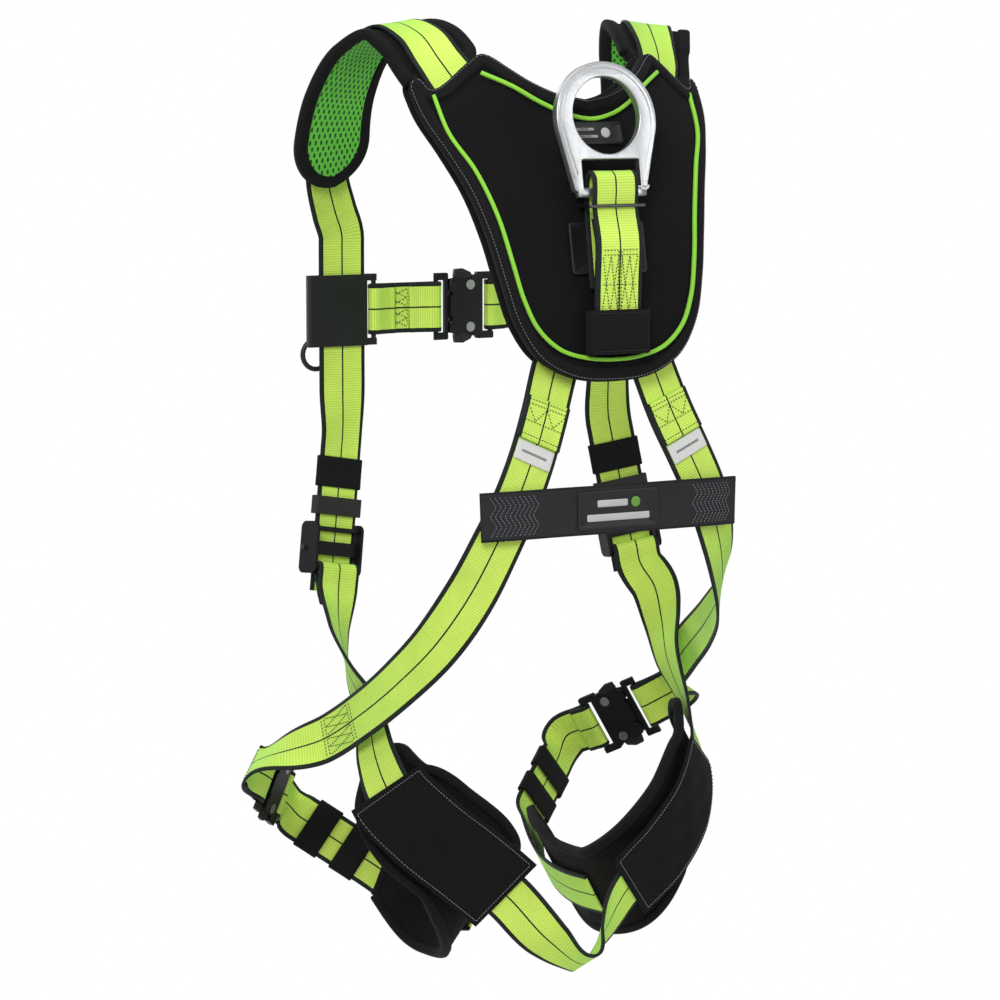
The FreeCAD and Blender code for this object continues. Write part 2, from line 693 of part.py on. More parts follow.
def leg_web_route(side):
    f = LEG_BUCKLES[side]
    start = [to_world(f, x, 0, WEB_LIFT) for x in (BUCKLE_PITCH - 2.0, BUCKLE_PITCH + 20, STRAIGHT_END)]
    out = vector_of(f, 0, 1)
    a, b = [V(*q) for q in KEEPER_LINE[side]]
    line = [a + (b - a) * u for u in (0.0, 0.12, 0.88, 1.0)]
    line = [(p.x, p.y, p.z) for p in line]
    tail = [KEEPER_N] * 4 + LEG_RUN_N
    tail = tail if side == "left" else flip(tail)
    return Route(start + line + LEG_RUN[side], [out] * 3 + tail)


LEG_ROUTES = {"left": leg_web_route("left"), "right": leg_web_route("right")}

# The leg pad is a broad sling under the thigh, from the front of the leg,
# round the inside and up the back of the hip.
PAD_FRONT = {"left": [(58, -110, -774), (54, -60, -774), (64, -12, -762)],
             "right": [(-60, -112, -762), (-54, -60, -772), (-64, -12, -766)]}
PAD_FRONT_N = [(-0.85, -0.15, -0.5), (-0.85, 0.1, -0.5), (-0.6, 0.62, -0.5)]


def leg_pad_route(side):
    """Front of the thigh as the leg web runs, back of the thigh as the pelvic web runs."""
    k = 1 if side == "left" else -1
    rear = list(reversed(HIP_INSIDE[side][3:7])) if k > 0 else flip(reversed(HIP_INSIDE[side][3:7]))
    normals = LEG_RUN_N[:1] + PAD_FRONT_N + list(reversed(HIP_INSIDE_N[3:7]))
    return Route(LEG_RUN[side][:1] + PAD_FRONT[side] + rear, normals if k > 0 else flip(normals))


def leg_pad_width(share):
    end = min(share, 1.0 - share) / 0.22
    return LEG_PAD_W * (0.52 + 0.48 * math.sin(min(1.0, end) * math.pi / 2.0))


for side in ("left", "right"):
    save(side + "_leg_web", ribbon(LEG_ROUTES[side], WEB_W, WEB_T))
    depth = -(WEB_T / 2.0 + LEG_PAD_T / 2.0 + 5.2)
    save(side + "_leg_pad", ribbon(leg_pad_route(side), leg_pad_width, LEG_PAD_T, depth))

# Sleeve of the leg pad over the pelvic web, on each side of the seat loop.
sleeves = []
rise = WEB_T / 2.0 + LAYER_GAP + SLEEVE_T / 2.0
sleeves.append(ribbon(PELVIC, SLEEVE_W, SLEEVE_T, rise, PELVIC.s[6] - 6.0, PELVIC.s[9] - 4.0))
sleeves.append(ribbon(PELVIC, SLEEVE_W, SLEEVE_T, rise, PELVIC.s[13] + 4.0, PELVIC.s[16] + 6.0))
save("leg_sleeves", *sleeves)


# ---------------------------------------------------------------- chest strap
CHEST_TONGUE_X = 42.0
CHEST = axes((CHEST_TONGUE_X, FRONT_Y - 2.0, CHEST_Z), (-1, 0, 0), (0, -1, 0))
save_buckle("chest", CHEST)
SLIDER_BAR_X = FRONT_X - SLIDER_W / 2.0 + BAR_R - 1.0
LANYARD_R = 2.2       # the keeper ring's wire
LANYARD_RING = 13.0
LANYARD_X = FRONT_X + 22.0
LANYARD_Y = FRONT_Y - 7.4
LANYARD_Z = CHEST_Z - SLIDER_H / 2.0 + 6.0


def chest_slider(side):
    """Plate sleeve on the front web with a bar for the chest web on its inner side."""
    k = 1 if side == "left" else -1
    x0 = FRONT_X - SLIDER_W / 2.0
    x1 = FRONT_X + SLIDER_W / 2.0
    z0 = CHEST_Z - SLIDER_H / 2.0
    y0 = FRONT_Y - WEB_T / 2.0 - SLIDE_GAP - 2.2
    y1 = FRONT_Y + WEB_T / 2.0 + SLIDE_GAP + 2.2
    body = box(x0 + 9.5, x1, y0, y1, z0, z0 + SLIDER_H)
    body = body.makeFillet(2.0, [e for e in body.Edges if abs(e.tangentAt(e.FirstParameter).z) > 0.9])
    channel = box(FRONT_X - WEB_W / 2.0 - 1.0, FRONT_X + WEB_W / 2.0 + 1.0,
                  FRONT_Y - WEB_T / 2.0 - SLIDE_GAP, FRONT_Y + WEB_T / 2.0 + SLIDE_GAP,
                  z0 - 1, z0 + SLIDER_H + 1)
    arms = []
    for z in (z0, z0 + SLIDER_H - 6.0):
        arms.append(box(x0 - 1.0, x0 + 11.0, FRONT_Y - 4.2, FRONT_Y + 0.2, z, z + 6.0))
    bar = Part.makeCylinder(BAR_R, SLIDER_H - 1.0, V(SLIDER_BAR_X, FRONT_Y - 2.0, z0 + 0.5))
    lug = box(LANYARD_X - 3.0, LANYARD_X + 3.0, LANYARD_Y - 4.8, y0 + 0.5, LANYARD_Z - 4.8,
              LANYARD_Z + 4.8)
    eye = Part.makeCylinder(LANYARD_R + 0.6, 12, V(LANYARD_X - 6.0, LANYARD_Y, LANYARD_Z), V(1, 0, 0))
    shape = body.cut(channel).fuse(arms + [bar, lug]).cut(eye).removeSplitter()
    return shape if k > 0 else mirror(shape)


def chest_web(side):
    """Web between the slider bar and the buckle, folded over each bar it meets."""
    bar_x = SLIDER_BAR_X
    y = FRONT_Y - 2.0
    if side == "left":
        pts = [(bar_x, y - FOLD_R, CHEST_Z), (bar_x - 16, y - FOLD_R, CHEST_Z),
               (CHEST_TONGUE_X + 12, y - FOLD_R, CHEST_Z), (CHEST_TONGUE_X, y - FOLD_R, CHEST_Z)]
        nrm = [(0, -1, 0)] * 4
        near_p, near_n = fold_over(pts, nrm, 26.0)
        far_p, far_n = fold_over(list(reversed(pts)), nrm, 22.0)
    else:
        low = y - WEB_LIFT
        edge = CHEST_TONGUE_X - BUCKLE_PITCH
        pts = [(-bar_x, y - FOLD_R, CHEST_Z), (-bar_x + 8, y - FOLD_R - 0.4, CHEST_Z),
               (-bar_x + 20, low, CHEST_Z), (edge - 20, low, CHEST_Z), (edge + 2, low, CHEST_Z)]
        nrm = [(0, -1, 0)] * 5
        near_p, near_n = pts, nrm
        far_p, far_n = fold_over(list(reversed(pts)), nrm, 24.0)
    extra_p = list(reversed(far_p[len(pts):]))
    extra_n = list(reversed(far_n[len(pts):]))
    return ribbon(Route(extra_p + near_p, extra_n + near_n), WEB_W, WEB_T)


for side in ("left", "right"):
    save(side + "_chest_slider", chest_slider(side))
    save(side + "_chest_web", chest_web(side))

# ---------------------------------------------------------------- keepers
def keeper(length, inner_h, wall):
    """Flat tube round the web, rounded along its edges."""
    w = WEB_W / 2.0 + 0.8
    body = box(-length / 2, length / 2, -w - wall, w + wall, -inner_h / 2 - wall, inner_h / 2 + wall)
    long_edges = [e for e in body.Edges if abs(e.tangentAt(e.FirstParameter).x) > 0.9]
    body = body.makeFillet(min(wall, 1.6), long_edges)
    return body.cut(box(-length, length, -w, w, -inner_h / 2, inner_h / 2))


def keeper_axes(route, s):
    centre, t, w, n = route.at(s)
    return (centre, t, n.cross(t), n)


clips = []
for side in ("left", "right"):
    k = 1 if side == "left" else -1
    t, n = TORSO_AXIS, TORSO_N
    for name, s, length in (("_torso_keeper", 32.0, 27.0), ("clip", 62.0, 16.0)):
        x, y, z = torso_point(s)
        frame = axes((k * x, y, z), (k * t.x, t.y, t.z), (k * n[0], n[1], n[2]))
        if name == "clip":
            clips.append(place(keeper(length, WEB_T + 1.0, 2.4), frame))
        else:
            save(side + name, place(keeper(length, WEB_T + 1.0, 1.5), frame))
    route = LEG_ROUTES[side]
    for name, s in (("_leg_keeper_a", route.s[3] + 20.0), ("_leg_keeper_b", route.s[6] - 20.0)):
        save(side + name, place(keeper(KEEPER_H, WEB_T + 3.4, 1.5), keeper_axes(route, s)))
save("torso_clips", *clips)


# ---------------------------------------------------------------- dorsal ring and its web
RING_PIVOT = V(0, 91.0, -131.0)
RING_LEAN = math.radians(10.0)
RING_H = 114.0


def ring_axes():
    up = V(0, -math.sin(RING_LEAN), math.cos(RING_LEAN))
    return (RING_PIVOT, V(1, 0, 0), up, V(1, 0, 0).cross(up))


def dorsal_ring():
    """Forged ring: a round eye over a slot, closed by a round bottom bar."""
    r = RING_W / 2.0
    eye_y = RING_H - RING_BAR_R - r + 1.0
    h = RING_T / 2.0
    slot_half = WEB_W / 2.0 + 7.0
    disc = Part.makeCylinder(r, RING_T, V(0, eye_y, -h))
    foot_x = slot_half + 8.0
    reach = math.hypot(foot_x, eye_y)
    a = math.acos(r / reach) - math.acos(foot_x / reach)
    touch = (r * math.cos(a), eye_y + r * math.sin(a))
    legs = [(-foot_x, 0), (foot_x, 0), touch, (-touch[0], touch[1])]
    ring_pts = [V(x, y, -h) for x, y in legs]
    foot = Part.Face(Part.makePolygon(ring_pts + [ring_pts[0]])).extrude(V(0, 0, RING_T))
    corner = [e for e in foot.Edges if abs(e.tangentAt(e.FirstParameter).z) > 0.9
              and e.valueAt(e.FirstParameter).y < 1.0]
    foot = foot.makeFillet(3.0, corner)
    body = disc.fuse(foot)
    eye = Part.makeCylinder(RING_EYE_R, RING_T + 2, V(0, eye_y + 3.0, -h - 1))
    slot = rounded(-slot_half, slot_half, RING_BAR_R * 0.2, RING_BAR_R + RING_SLOT_H, -h - 1, h + 1, 3.0)
    body = body.cut(eye).cut(slot)
    body = body.removeSplitter()
    bar = Part.makeCylinder(RING_BAR_R, 2 * slot_half + 8.0, V(-slot_half - 4.0, 0, 0), V(1, 0, 0))
    return body.fuse(bar).removeSplitter()


ring = place(dorsal_ring(), ring_axes())
save("dorsal_ring", ring)

# The dorsal web comes out of the pad, goes up behind the bar, through the
# slot and down the outside into the retainer.
RING_FOLD = RING_BAR_R + SLIDE_GAP + WEB_T / 2.0
by, bz = RING_PIVOT.y, RING_PIVOT.z
RETAINER_Z = -247.0
outside = [(0, back_y(0, -267) + 7.1, -263), (0, back_y(0, -267) + 7.1, -240),
           (0, 104, -205), (0, 105, -172), (0, by + RING_FOLD + 1.0, bz - 10),
           (0, by + RING_FOLD + 1.5, bz + 4), (0, by + 5.0, bz + 14), (0, by, bz + 17),
           (0, by - 4.6, bz + 12), (0, by - RING_FOLD - 0.6, bz), (0, by - RING_FOLD, bz - 14),
           (0, back_y(0, -170) + 4.6, -170), (0, back_y(0, -212) + 4.0, -212)]
outside_n = [(0, 1, 0), (0, 1, 0), (0, 1, 0), (0, 1, 0.05), (0, 1, 0), (0, 1, 0.2), (0, 0.5, 0.87),
             (0, -0.1, 1), (0, -0.9, 0.4), (0, -1, 0), (0, -1, 0), (0, -1, 0), (0, -1, 0)]
save("dorsal_web", ribbon(Route(outside, outside_n), WEB_W, WEB_T))

# Wire link that gathers the dorsal web below the ring.
LINK_R = 1.5


def dorsal_link():
    half_w = WEB_W / 2.0 + 4.0
    y0 = by - RING_FOLD - WEB_T / 2.0 - LINK_R - 0.5
    y1 = by + RING_FOLD + 1.0 + WEB_T / 2.0 + LINK_R + 0.8
    z = bz - 11.0
    bars = []
    for y in (y0, y1):
        bars.append(Part.makeCylinder(LINK_R, 2 * half_w, V(-half_w, y, z), V(1, 0, 0)))
    for x in (-half_w, half_w):
        bars.append(Part.makeCylinder(LINK_R, y1 - y0, V(x, y0, z), V(0, 1, 0)))
        for y in (y0, y1):
            bars.append(Part.makeSphere(LINK_R, V(x, y, z)))
    return bars[0].fuse(bars[1:]).removeSplitter()


save("dorsal_link", dorsal_link())


def patch(width, z_low, z_high, thick, raise_by, name):
    """Flat badge on the outside of the back pad."""
    zm = (z_low + z_high) / 2.0
    pts = [(0, back_y(0, z) + raise_by + thick / 2.0, z) for z in (z_high, zm, z_low)]
    save(name, ribbon(Route(pts, [(0, 1, 0.2)] * 3), width, thick))


patch(74.0, -200.0, -156.0, 1.2, 0.5, "back_patch")
patch(58.0, -92.0, -72.0, 1.2, 0.5, "dorsal_tag")


def retainer():
    """Fabric pocket that takes the end of the dorsal web."""
    yb = back_y(0, RETAINER_Z - 20)
    body = box(-32, 32, yb + 0.5, yb + 12.5, RETAINER_Z - 20, RETAINER_Z + 20)
    body = body.makeFillet(2.0, body.Edges)
    pocket = box(-WEB_W / 2 - 1.0, WEB_W / 2 + 1.0, yb + 3.4, yb + 10.8, RETAINER_Z - 18,
                 RETAINER_Z + 30)
    return body.cut(pocket)


save("web_retainer", retainer())

# Lanyard keepers hang from a lug on the front of each slider.
for side, k in (("left", 1), ("right", -1)):
    centre = V(k * LANYARD_X, LANYARD_Y, LANYARD_Z - LANYARD_RING)
    save(side + "_lanyard_keeper", Part.makeTorus(LANYARD_RING, LANYARD_R, centre, V(0, 1, 0)))
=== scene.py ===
import math
import bpy
import numpy as np
from mathutils import Matrix, Vector


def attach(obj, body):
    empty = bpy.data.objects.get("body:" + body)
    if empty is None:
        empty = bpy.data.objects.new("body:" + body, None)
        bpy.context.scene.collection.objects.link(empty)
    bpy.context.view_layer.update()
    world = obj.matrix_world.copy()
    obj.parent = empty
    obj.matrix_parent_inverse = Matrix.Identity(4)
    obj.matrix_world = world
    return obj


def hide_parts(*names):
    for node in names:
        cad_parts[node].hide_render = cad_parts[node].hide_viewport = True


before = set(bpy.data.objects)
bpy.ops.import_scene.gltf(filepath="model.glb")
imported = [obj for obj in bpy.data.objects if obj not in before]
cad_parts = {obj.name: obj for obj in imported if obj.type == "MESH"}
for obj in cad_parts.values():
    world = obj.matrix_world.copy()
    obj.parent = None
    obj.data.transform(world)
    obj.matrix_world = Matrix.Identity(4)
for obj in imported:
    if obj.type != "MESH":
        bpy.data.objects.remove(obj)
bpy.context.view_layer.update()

scene = bpy.context.scene

# ------------------------------------------------------------------ camera
# A long lens from behind the wearer's left shoulder, a little above mid height.
AZ, EL, FAR = math.radians(150.0), math.radians(7.0), 3.2
BACK = Vector((math.sin(AZ) * math.cos(EL), -math.cos(AZ) * math.cos(EL), math.sin(EL)))
cam_data = bpy.data.cameras.new("camera")
cam_data.lens = 131.7
cam_data.sensor_width = 36.0
cam_data.clip_end = 50.0
camera = bpy.data.objects.new("camera", cam_data)
scene.collection.objects.link(camera)
camera.location = Vector((0.0419, -0.024, -0.4025)) + BACK * FAR
camera.rotation_euler = BACK.to_track_quat("Z", "Y").to_euler()
scene.camera = camera
scene.view_settings.view_transform = "Standard"

# ------------------------------------------------------------------ studio
# Four soft boxes and an even ambient light; the camera alone sees plain white behind.


def node(tree, kind, values=None, **attrs):
    n = tree.nodes.new(kind)
    for k, v in attrs.items():
        setattr(n, k, v)
    for k, v in (values or {}).items():
        if isinstance(v, bpy.types.NodeSocket):
            tree.links.new(v, n.inputs[k])
        else:
            n.inputs[k].default_value = v
    return n


def calc(tree, op, a, b=0.0, c=0.0):
    return node(tree, "ShaderNodeMath", {0: a, 1: b, 2: c}, operation=op).outputs[0]


def lit(x, y, z, size, power, aim=(0, 0, -0.4), tint=(1, 1, 1)):
    data = bpy.data.lights.new("soft", "AREA")
    data.size = size
    data.energy = power
    data.color = tint
    lamp = bpy.data.objects.new("soft", data)
    lamp.location = (x, y, z)
    lamp.rotation_euler = (Vector((x, y, z)) - Vector(aim)).to_track_quat("Z", "Y").to_euler()
    scene.collection.objects.link(lamp)


lit(1.5, 1.6, 1.1, 1.0, 36)
lit(-1.6, 1.9, 0.4, 1.1, 12)
lit(0.3, 0.2, 2.0, 1.4, 18)
lit(0.6, -2.0, 0.3, 1.6, 14)

world = bpy.data.worlds.new("studio")
scene.world = world
world.use_nodes = True
wt = world.node_tree
wt.nodes.clear()
rays = node(wt, "ShaderNodeLightPath")
seen = calc(wt, "MAXIMUM", rays.outputs["Is Camera Ray"], rays.outputs["Is Transmission Ray"])
ambient = node(wt, "ShaderNodeBackground", {"Color": (0.86, 0.88, 0.9, 1), "Strength": 0.36})
white = node(wt, "ShaderNodeBackground", {"Color": (1, 1, 1, 1), "Strength": 1.0})
pick = node(wt, "ShaderNodeMixShader", {0: seen, 1: ambient.outputs[0], 2: white.outputs[0]})
node(wt, "ShaderNodeOutputWorld", {"Surface": pick.outputs[0]})

# ------------------------------------------------------------------ shoulder webs
# One 45 mm polyester web each side, from the torso adjuster up the front, over the
# shoulder and down to the crossing behind the dorsal ring.  Woven lime body with black
# selvedges and one black warp line; the lists are the same runs the solids follow.
MM = 0.001
WEB_W, WEB_T = 45.0, 2.4


def unit(a):
    a = np.asarray(a, float)
    return a / np.linalg.norm(a, axis=-1, keepdims=True)


def slopes(q, s):
    step = np.diff(q, axis=0) / np.diff(s)[:, None]
    h = np.diff(s)
    inner = (step[:-1] * h[1:, None] + step[1:] * h[:-1, None]) / (h[:-1] + h[1:])[:, None]
    return np.vstack([step[:1], inner, step[-1:]])


class Run:
    """Smooth line through points (cubic Hermite on chord length) with outward normals, mm."""

    def __init__(self, points, normals):
        self.p = np.array(points, float)
        self.n = unit(np.array(normals, float))
        chord = np.linalg.norm(np.diff(self.p, axis=0), axis=1)
        self.s = np.concatenate([[0.0], np.cumsum(chord)])
        self.length = self.s[-1]
        self.dp, self.dn = slopes(self.p, self.s), slopes(self.n, self.s)

    def blend(self, q, d, i, u, h):
        u, h = u[:, None], h[:, None]
        return (q[i] * (1 + 2 * u) * (1 - u) ** 2 + d[i] * u * (1 - u) ** 2 * h
                + q[i + 1] * u * u * (3 - 2 * u) + d[i + 1] * u * u * (u - 1) * h)

    def at(self, s):
        """Centre, forward, across and outward at each distance s."""
        s = np.clip(np.atleast_1d(np.asarray(s, float)), 0, self.length)
        i = np.clip(np.searchsorted(self.s, s, side="right") - 1, 0, len(self.s) - 2)
        h = self.s[i + 1] - self.s[i]
        u = (s - self.s[i]) / h
        c = self.blend(self.p, self.dp, i, u, h)
        t = unit(self.blend(self.p, self.dp, i, np.minimum(u + 0.01, 1), h)
                 - self.blend(self.p, self.dp, i, np.maximum(u - 0.01, 0), h))
        n = self.blend(self.n, self.dn, i, u, h)
        n = unit(n - t * np.sum(n * t, axis=1, keepdims=True))
        return c, t, np.cross(n, t), n


def put(name, verts, faces, body, uv=None, smooth=True):
    """Mesh object from whole arrays: verts in mm, quads, optional per-vertex uv."""
    mesh = bpy.data.meshes.new(name)
    mesh.from_pydata((np.asarray(verts) * MM).tolist(), [], [list(map(int, f)) for f in faces])
    if uv is not None:
        layer = mesh.uv_layers.new(name="UVMap")
        idx = np.zeros(len(mesh.loops), np.int32)
        mesh.loops.foreach_get("vertex_index", idx)
        layer.data.foreach_set("uv", np.asarray(uv, np.float32)[idx].ravel())
    mesh.polygons.foreach_set("use_smooth", [smooth] * len(mesh.polygons))
    mesh.validate()
    obj = bpy.data.objects.new(name, mesh)
    scene.collection.objects.link(obj)
    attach(obj, body)
    return obj


def lattice(rows, cols, closed):
    """Quads of a rows x cols grid, wrapped round when closed."""
    r, c = np.meshgrid(np.arange(rows - 1), np.arange(cols if closed else cols - 1), indexing="ij")
    d = (c + 1) % cols
    return np.stack([r * cols + c, r * cols + d, (r + 1) * cols + d, (r + 1) * cols + c], -1).reshape(-1, 4)


def tube_faces(rows, cols):
    """Quads of a closed tube of rows rings with cols points each, and a cap at each end."""
    return (lattice(rows, cols, True)[:, ::-1].tolist() + [list(range(cols))]
            + [list(reversed(range((rows - 1) * cols, rows * cols)))])


def inside_out(faces):
    return [f[::-1] for f in faces]


def web_section(width, thick):
    """Flat band with round edges and a slight bead along each selvedge."""
    a = np.array([-0.5, -0.42, -0.4, -0.2, -0.02, 0.02, 0.2, 0.4, 0.42, 0.5]) * (width - thick)
    b = np.array([1.12, 1.12, 1, 1, 0.95, 0.95, 1, 1, 1.12, 1.12]) * thick / 2
    e = np.radians([60, 30, 0, -30, -60])
    right = np.stack([(width - thick) / 2 + thick / 2 * np.cos(e), thick / 2 * np.sin(e)], 1)
    top = np.stack([a, b], 1)
    low = np.stack([a[::-1], -b[::-1]], 1)
    left = right[::-1] * [-1, 1]
    return np.vstack([top, right, low, left])


def strip(name, run, body, width=WEB_W, thick=WEB_T, off=0.0, s0=0.0, s1=None, row=4.0, section=None):
    """Band swept along a run: section points carried by the across and outward directions."""
    s1 = run.length if s1 is None else s1
    marks = np.unique(np.concatenate([np.arange(s0, s1, row), run.s[(run.s > s0) & (run.s < s1)], [s1]]))
    marks = marks[np.concatenate([[True], np.diff(marks) > 0.25])]
    c, t, w, n = run.at(marks)
    share = (marks - s0) / (s1 - s0)
    k = (width(share) / WEB_W)[:, None, None] if callable(width) else 1.0
    prof = web_section(WEB_W if callable(width) else width, thick) if section is None else section
    verts = (c[:, None] + w[:, None] * prof[None, :, :1] * k + n[:, None] * (prof[None, :, 1:] + off))
    rows, cols = len(marks), len(prof)
    share = prof[:, 0] / np.ptp(prof[:, 0]) + 0.5
    uv = np.stack([np.tile(share, (rows, 1)), np.tile(marks[:, None] * MM, (1, cols))], -1)
    return put(name, verts.reshape(-1, 3), tube_faces(rows, cols), body, uv.reshape(-1, 2))


def group(name, inputs, outputs):
    tree = bpy.data.node_groups.new(name, "ShaderNodeTree")
    for label, kind, value in inputs:
        sock = tree.interface.new_socket(label, in_out="INPUT", socket_type=kind)
        sock.default_value = value
    for label, kind in outputs:
        tree.interface.new_socket(label, in_out="OUTPUT", socket_type=kind)
    return tree, node(tree, "NodeGroupInput"), node(tree, "NodeGroupOutput")


COL, VAL = "NodeSocketColor", "NodeSocketFloat"


def mix(tree, fac, a, b, mode="MIX"):
    n = node(tree, "ShaderNodeMix", data_type="RGBA", blend_type=mode)
    for slot, v in ((0, fac), (6, a), (7, b)):
        if isinstance(v, bpy.types.NodeSocket):
            tree.links.new(v, n.inputs[slot])
        else:
            n.inputs[slot].default_value = v
    return n.outputs[2]


def shaded(tree, color, value):
    """A colour multiplied by a grey value."""
    grey = node(tree, "ShaderNodeCombineColor", {0: value, 1: value, 2: value})
    return mix(tree, 1.0, color, grey.outputs[0], "MULTIPLY")


def noise(tree, scale, detail, at=None, rough=0.5):
    """Fractal noise over the object's own coordinates, or over the socket given."""
    if at is None:
        at = node(tree, "ShaderNodeTexCoord").outputs["Object"]
    return node(tree, "ShaderNodeTexNoise", {"Vector": at, "Scale": scale, "Detail": detail,
                                             "Roughness": rough}).outputs[0]


def uv_parts(tree):
    """The piece's UV map, then its two parts: across, and metres along."""
    uv = node(tree, "ShaderNodeUVMap", uv_map="UVMap").outputs[0]
    part = node(tree, "ShaderNodeSeparateXYZ", {0: uv}).outputs
    return uv, part[0], part[1]


def wave(tree, x, rate, kind="SINE"):
    """Sine or cosine of x times rate."""
    return calc(tree, kind, calc(tree, "MULTIPLY", x, rate))


def ridge(tree, x, rate):
    """Size of the sine of x times rate: a row of round ribs."""
    return calc(tree, "ABSOLUTE", wave(tree, x, rate))


# Weave: u runs 0..1 across the web, v is metres along it.
weave, gi, go = group("web_weave", [("Body", COL, (0.5, 0.8, 0.05, 1)), ("Edge", COL, (0.01, 0.01, 0.01, 1)),
                                    ("Line", VAL, 1.0), ("Selvedge", VAL, 0.088)],
                      [("Color", COL), ("Height", VAL), ("Rough", VAL)])
uv, u, v = uv_parts(weave)
jag = calc(weave, "MULTIPLY", calc(weave, "SUBTRACT", noise(weave, 900.0, 2.0, uv), 0.5), 0.012)
from_mid = calc(weave, "ADD", calc(weave, "ABSOLUTE", calc(weave, "SUBTRACT", u, 0.5)), jag)
edge = calc(weave, "GREATER_THAN", from_mid, calc(weave, "SUBTRACT", 0.5, gi.outputs["Selvedge"]))
line = calc(weave, "MULTIPLY", calc(weave, "LESS_THAN", from_mid, 0.016), gi.outputs["Line"])
rib, warp = ridge(weave, v, 1450.0), ridge(weave, u, 190.0)
twill = calc(weave, "SINE", calc(weave, "ADD", calc(weave, "MULTIPLY", v, 5200.0),
                                 calc(weave, "MULTIPLY", u, 240.0)))
soil = noise(weave, 14.0, 4.0)
drift = node(weave, "ShaderNodeMapRange", {0: soil, 1: 0.3, 2: 0.7, 3: 0.86, 4: 1.06})
shade = calc(weave, "MULTIPLY", drift.outputs[0], calc(weave, "MULTIPLY_ADD", rib, 0.24, 0.80))
shade = calc(weave, "MULTIPLY", shade, calc(weave, "MULTIPLY_ADD", warp, 0.10, 0.93))
tooth = calc(weave, "MULTIPLY_ADD", ridge(weave, v, 2300.0), 1.5, 0.4)
both = mix(weave, calc(weave, "MAXIMUM", edge, line), shaded(weave, gi.outputs["Body"], shade),
           shaded(weave, gi.outputs["Edge"], tooth))
weave.links.new(both, go.inputs["Color"])
high = calc(weave, "ADD", calc(weave, "MULTIPLY", rib, 0.7), calc(weave, "MULTIPLY", twill, 0.12))
weave.links.new(calc(weave, "ADD", high, calc(weave, "MULTIPLY", warp, 0.15)), go.inputs["Height"])
weave.links.new(calc(weave, "MULTIPLY_ADD", soil, 0.2, 0.55), go.inputs["Rough"])


def material(name):
    m = bpy.data.materials.new(name)
    m.use_nodes = True
    m.node_tree.nodes.clear()
    p = node(m.node_tree, "ShaderNodeBsdfPrincipled")
    node(m.node_tree, "ShaderNodeOutputMaterial", {"Surface": p.outputs[0]})
    return m, m.node_tree, p


def bumped(tree, p, height, strength, distance):
    b = node(tree, "ShaderNodeBump", {"Height": height, "Strength": strength, "Distance": distance})
    tree.links.new(b.outputs[0], p.inputs["Normal"])


def dimmed(col, k):
    return tuple(min(1.0, c * k) for c in col[:3]) + (1,)


def use(tree, effect, **values):
    """Places a shared effect in a material with its own plain values or links."""
    g = node(tree, "ShaderNodeGroup", node_tree=effect)
    for k, v in values.items():
        if isinstance(v, bpy.types.NodeSocket):
            tree.links.new(v, g.inputs[k])
        else:
            g.inputs[k].default_value = v
    return g.outputs


def grained(name, effect, bump, look, **values):
    """Material fed by a shared effect: its colour, relief and, where it has one, roughness."""
    m, t, p = material(name)
    g = use(t, effect, **values)
    t.links.new(g["Color"], p.inputs["Base Color"])
    if "Rough" in g:
        t.links.new(g["Rough"], p.inputs["Roughness"])
    for k, v in look.items():
        p.inputs[k].default_value = v
    bumped(t, p, g["Height"], *bump)
    return m


def web_material(name, body, edge, line, selvedge=0.088, sheen=0.25, grazing_shade_tint=(1, 1, 1, 1)):
    m, t, p = material(name)
    g = use(t, weave, Body=body, Edge=edge, Line=line, Selvedge=selvedge)
    # Painted shade: where the surface turns away from the camera, the base colour is multiplied by a tint, up
    # to 75 %, so the web goes darker and greener toward its turned edges.
    turn = node(t, "ShaderNodeLayerWeight", {"Blend": 0.4})
    painted_grazing_shade = mix(t, calc(t, "MULTIPLY", turn.outputs["Facing"], 0.75), g["Color"], grazing_shade_tint, "MULTIPLY")
    t.links.new(painted_grazing_shade, p.inputs["Base Color"])
    t.links.new(g["Rough"], p.inputs["Roughness"])
    p.inputs["Sheen Weight"].default_value = sheen
    p.inputs["Sheen Roughness"].default_value = 0.4
    p.inputs["Specular IOR Level"].default_value = 0.25
    bumped(t, p, g["Height"], 0.55, 0.0005)
    return m


# The lime web's green tint at grazing angles is painted shade.
LIME = web_material("webbing_lime", (0.76, 1.0, 0.15, 1), (0.007, 0.011, 0.009, 1), 1.0,
                    sheen=0.12, grazing_shade_tint=(0.42, 0.92, 0.7, 1))


def wear(objs, mat):
    for o in objs if isinstance(objs, (list, tuple)) else [objs]:
        o.data.materials.clear()
        o.data.materials.append(mat)


def lime_web(name, run, body, row=4.0):
    """The 45 mm lime web along a run, standing for the solid of the same name."""
    web = strip(name, run, body, row=row)
    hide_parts(name)
    wear(web, LIME)


def flip(points):
    return [(-x, y, z) for x, y, z in points]


def back_y(x, z):
    """Outside of the back pad: bowed forward toward the neck, falling away to each side."""
    rise = (z + 300.0) ** 2
    return 97.0 - rise * (0.00076 + 2.67e-8 * x * x) - 0.0006 * x * x


def back_n(x, z):
    r = z + 300.0
    return (2 * x * (2.67e-8 * r * r + 0.0006), 1.0, 2 * r * (0.00076 + 2.67e-8 * x * x))


def on_back(x, z, depth):
    return (x, back_y(x, z) - depth, z)


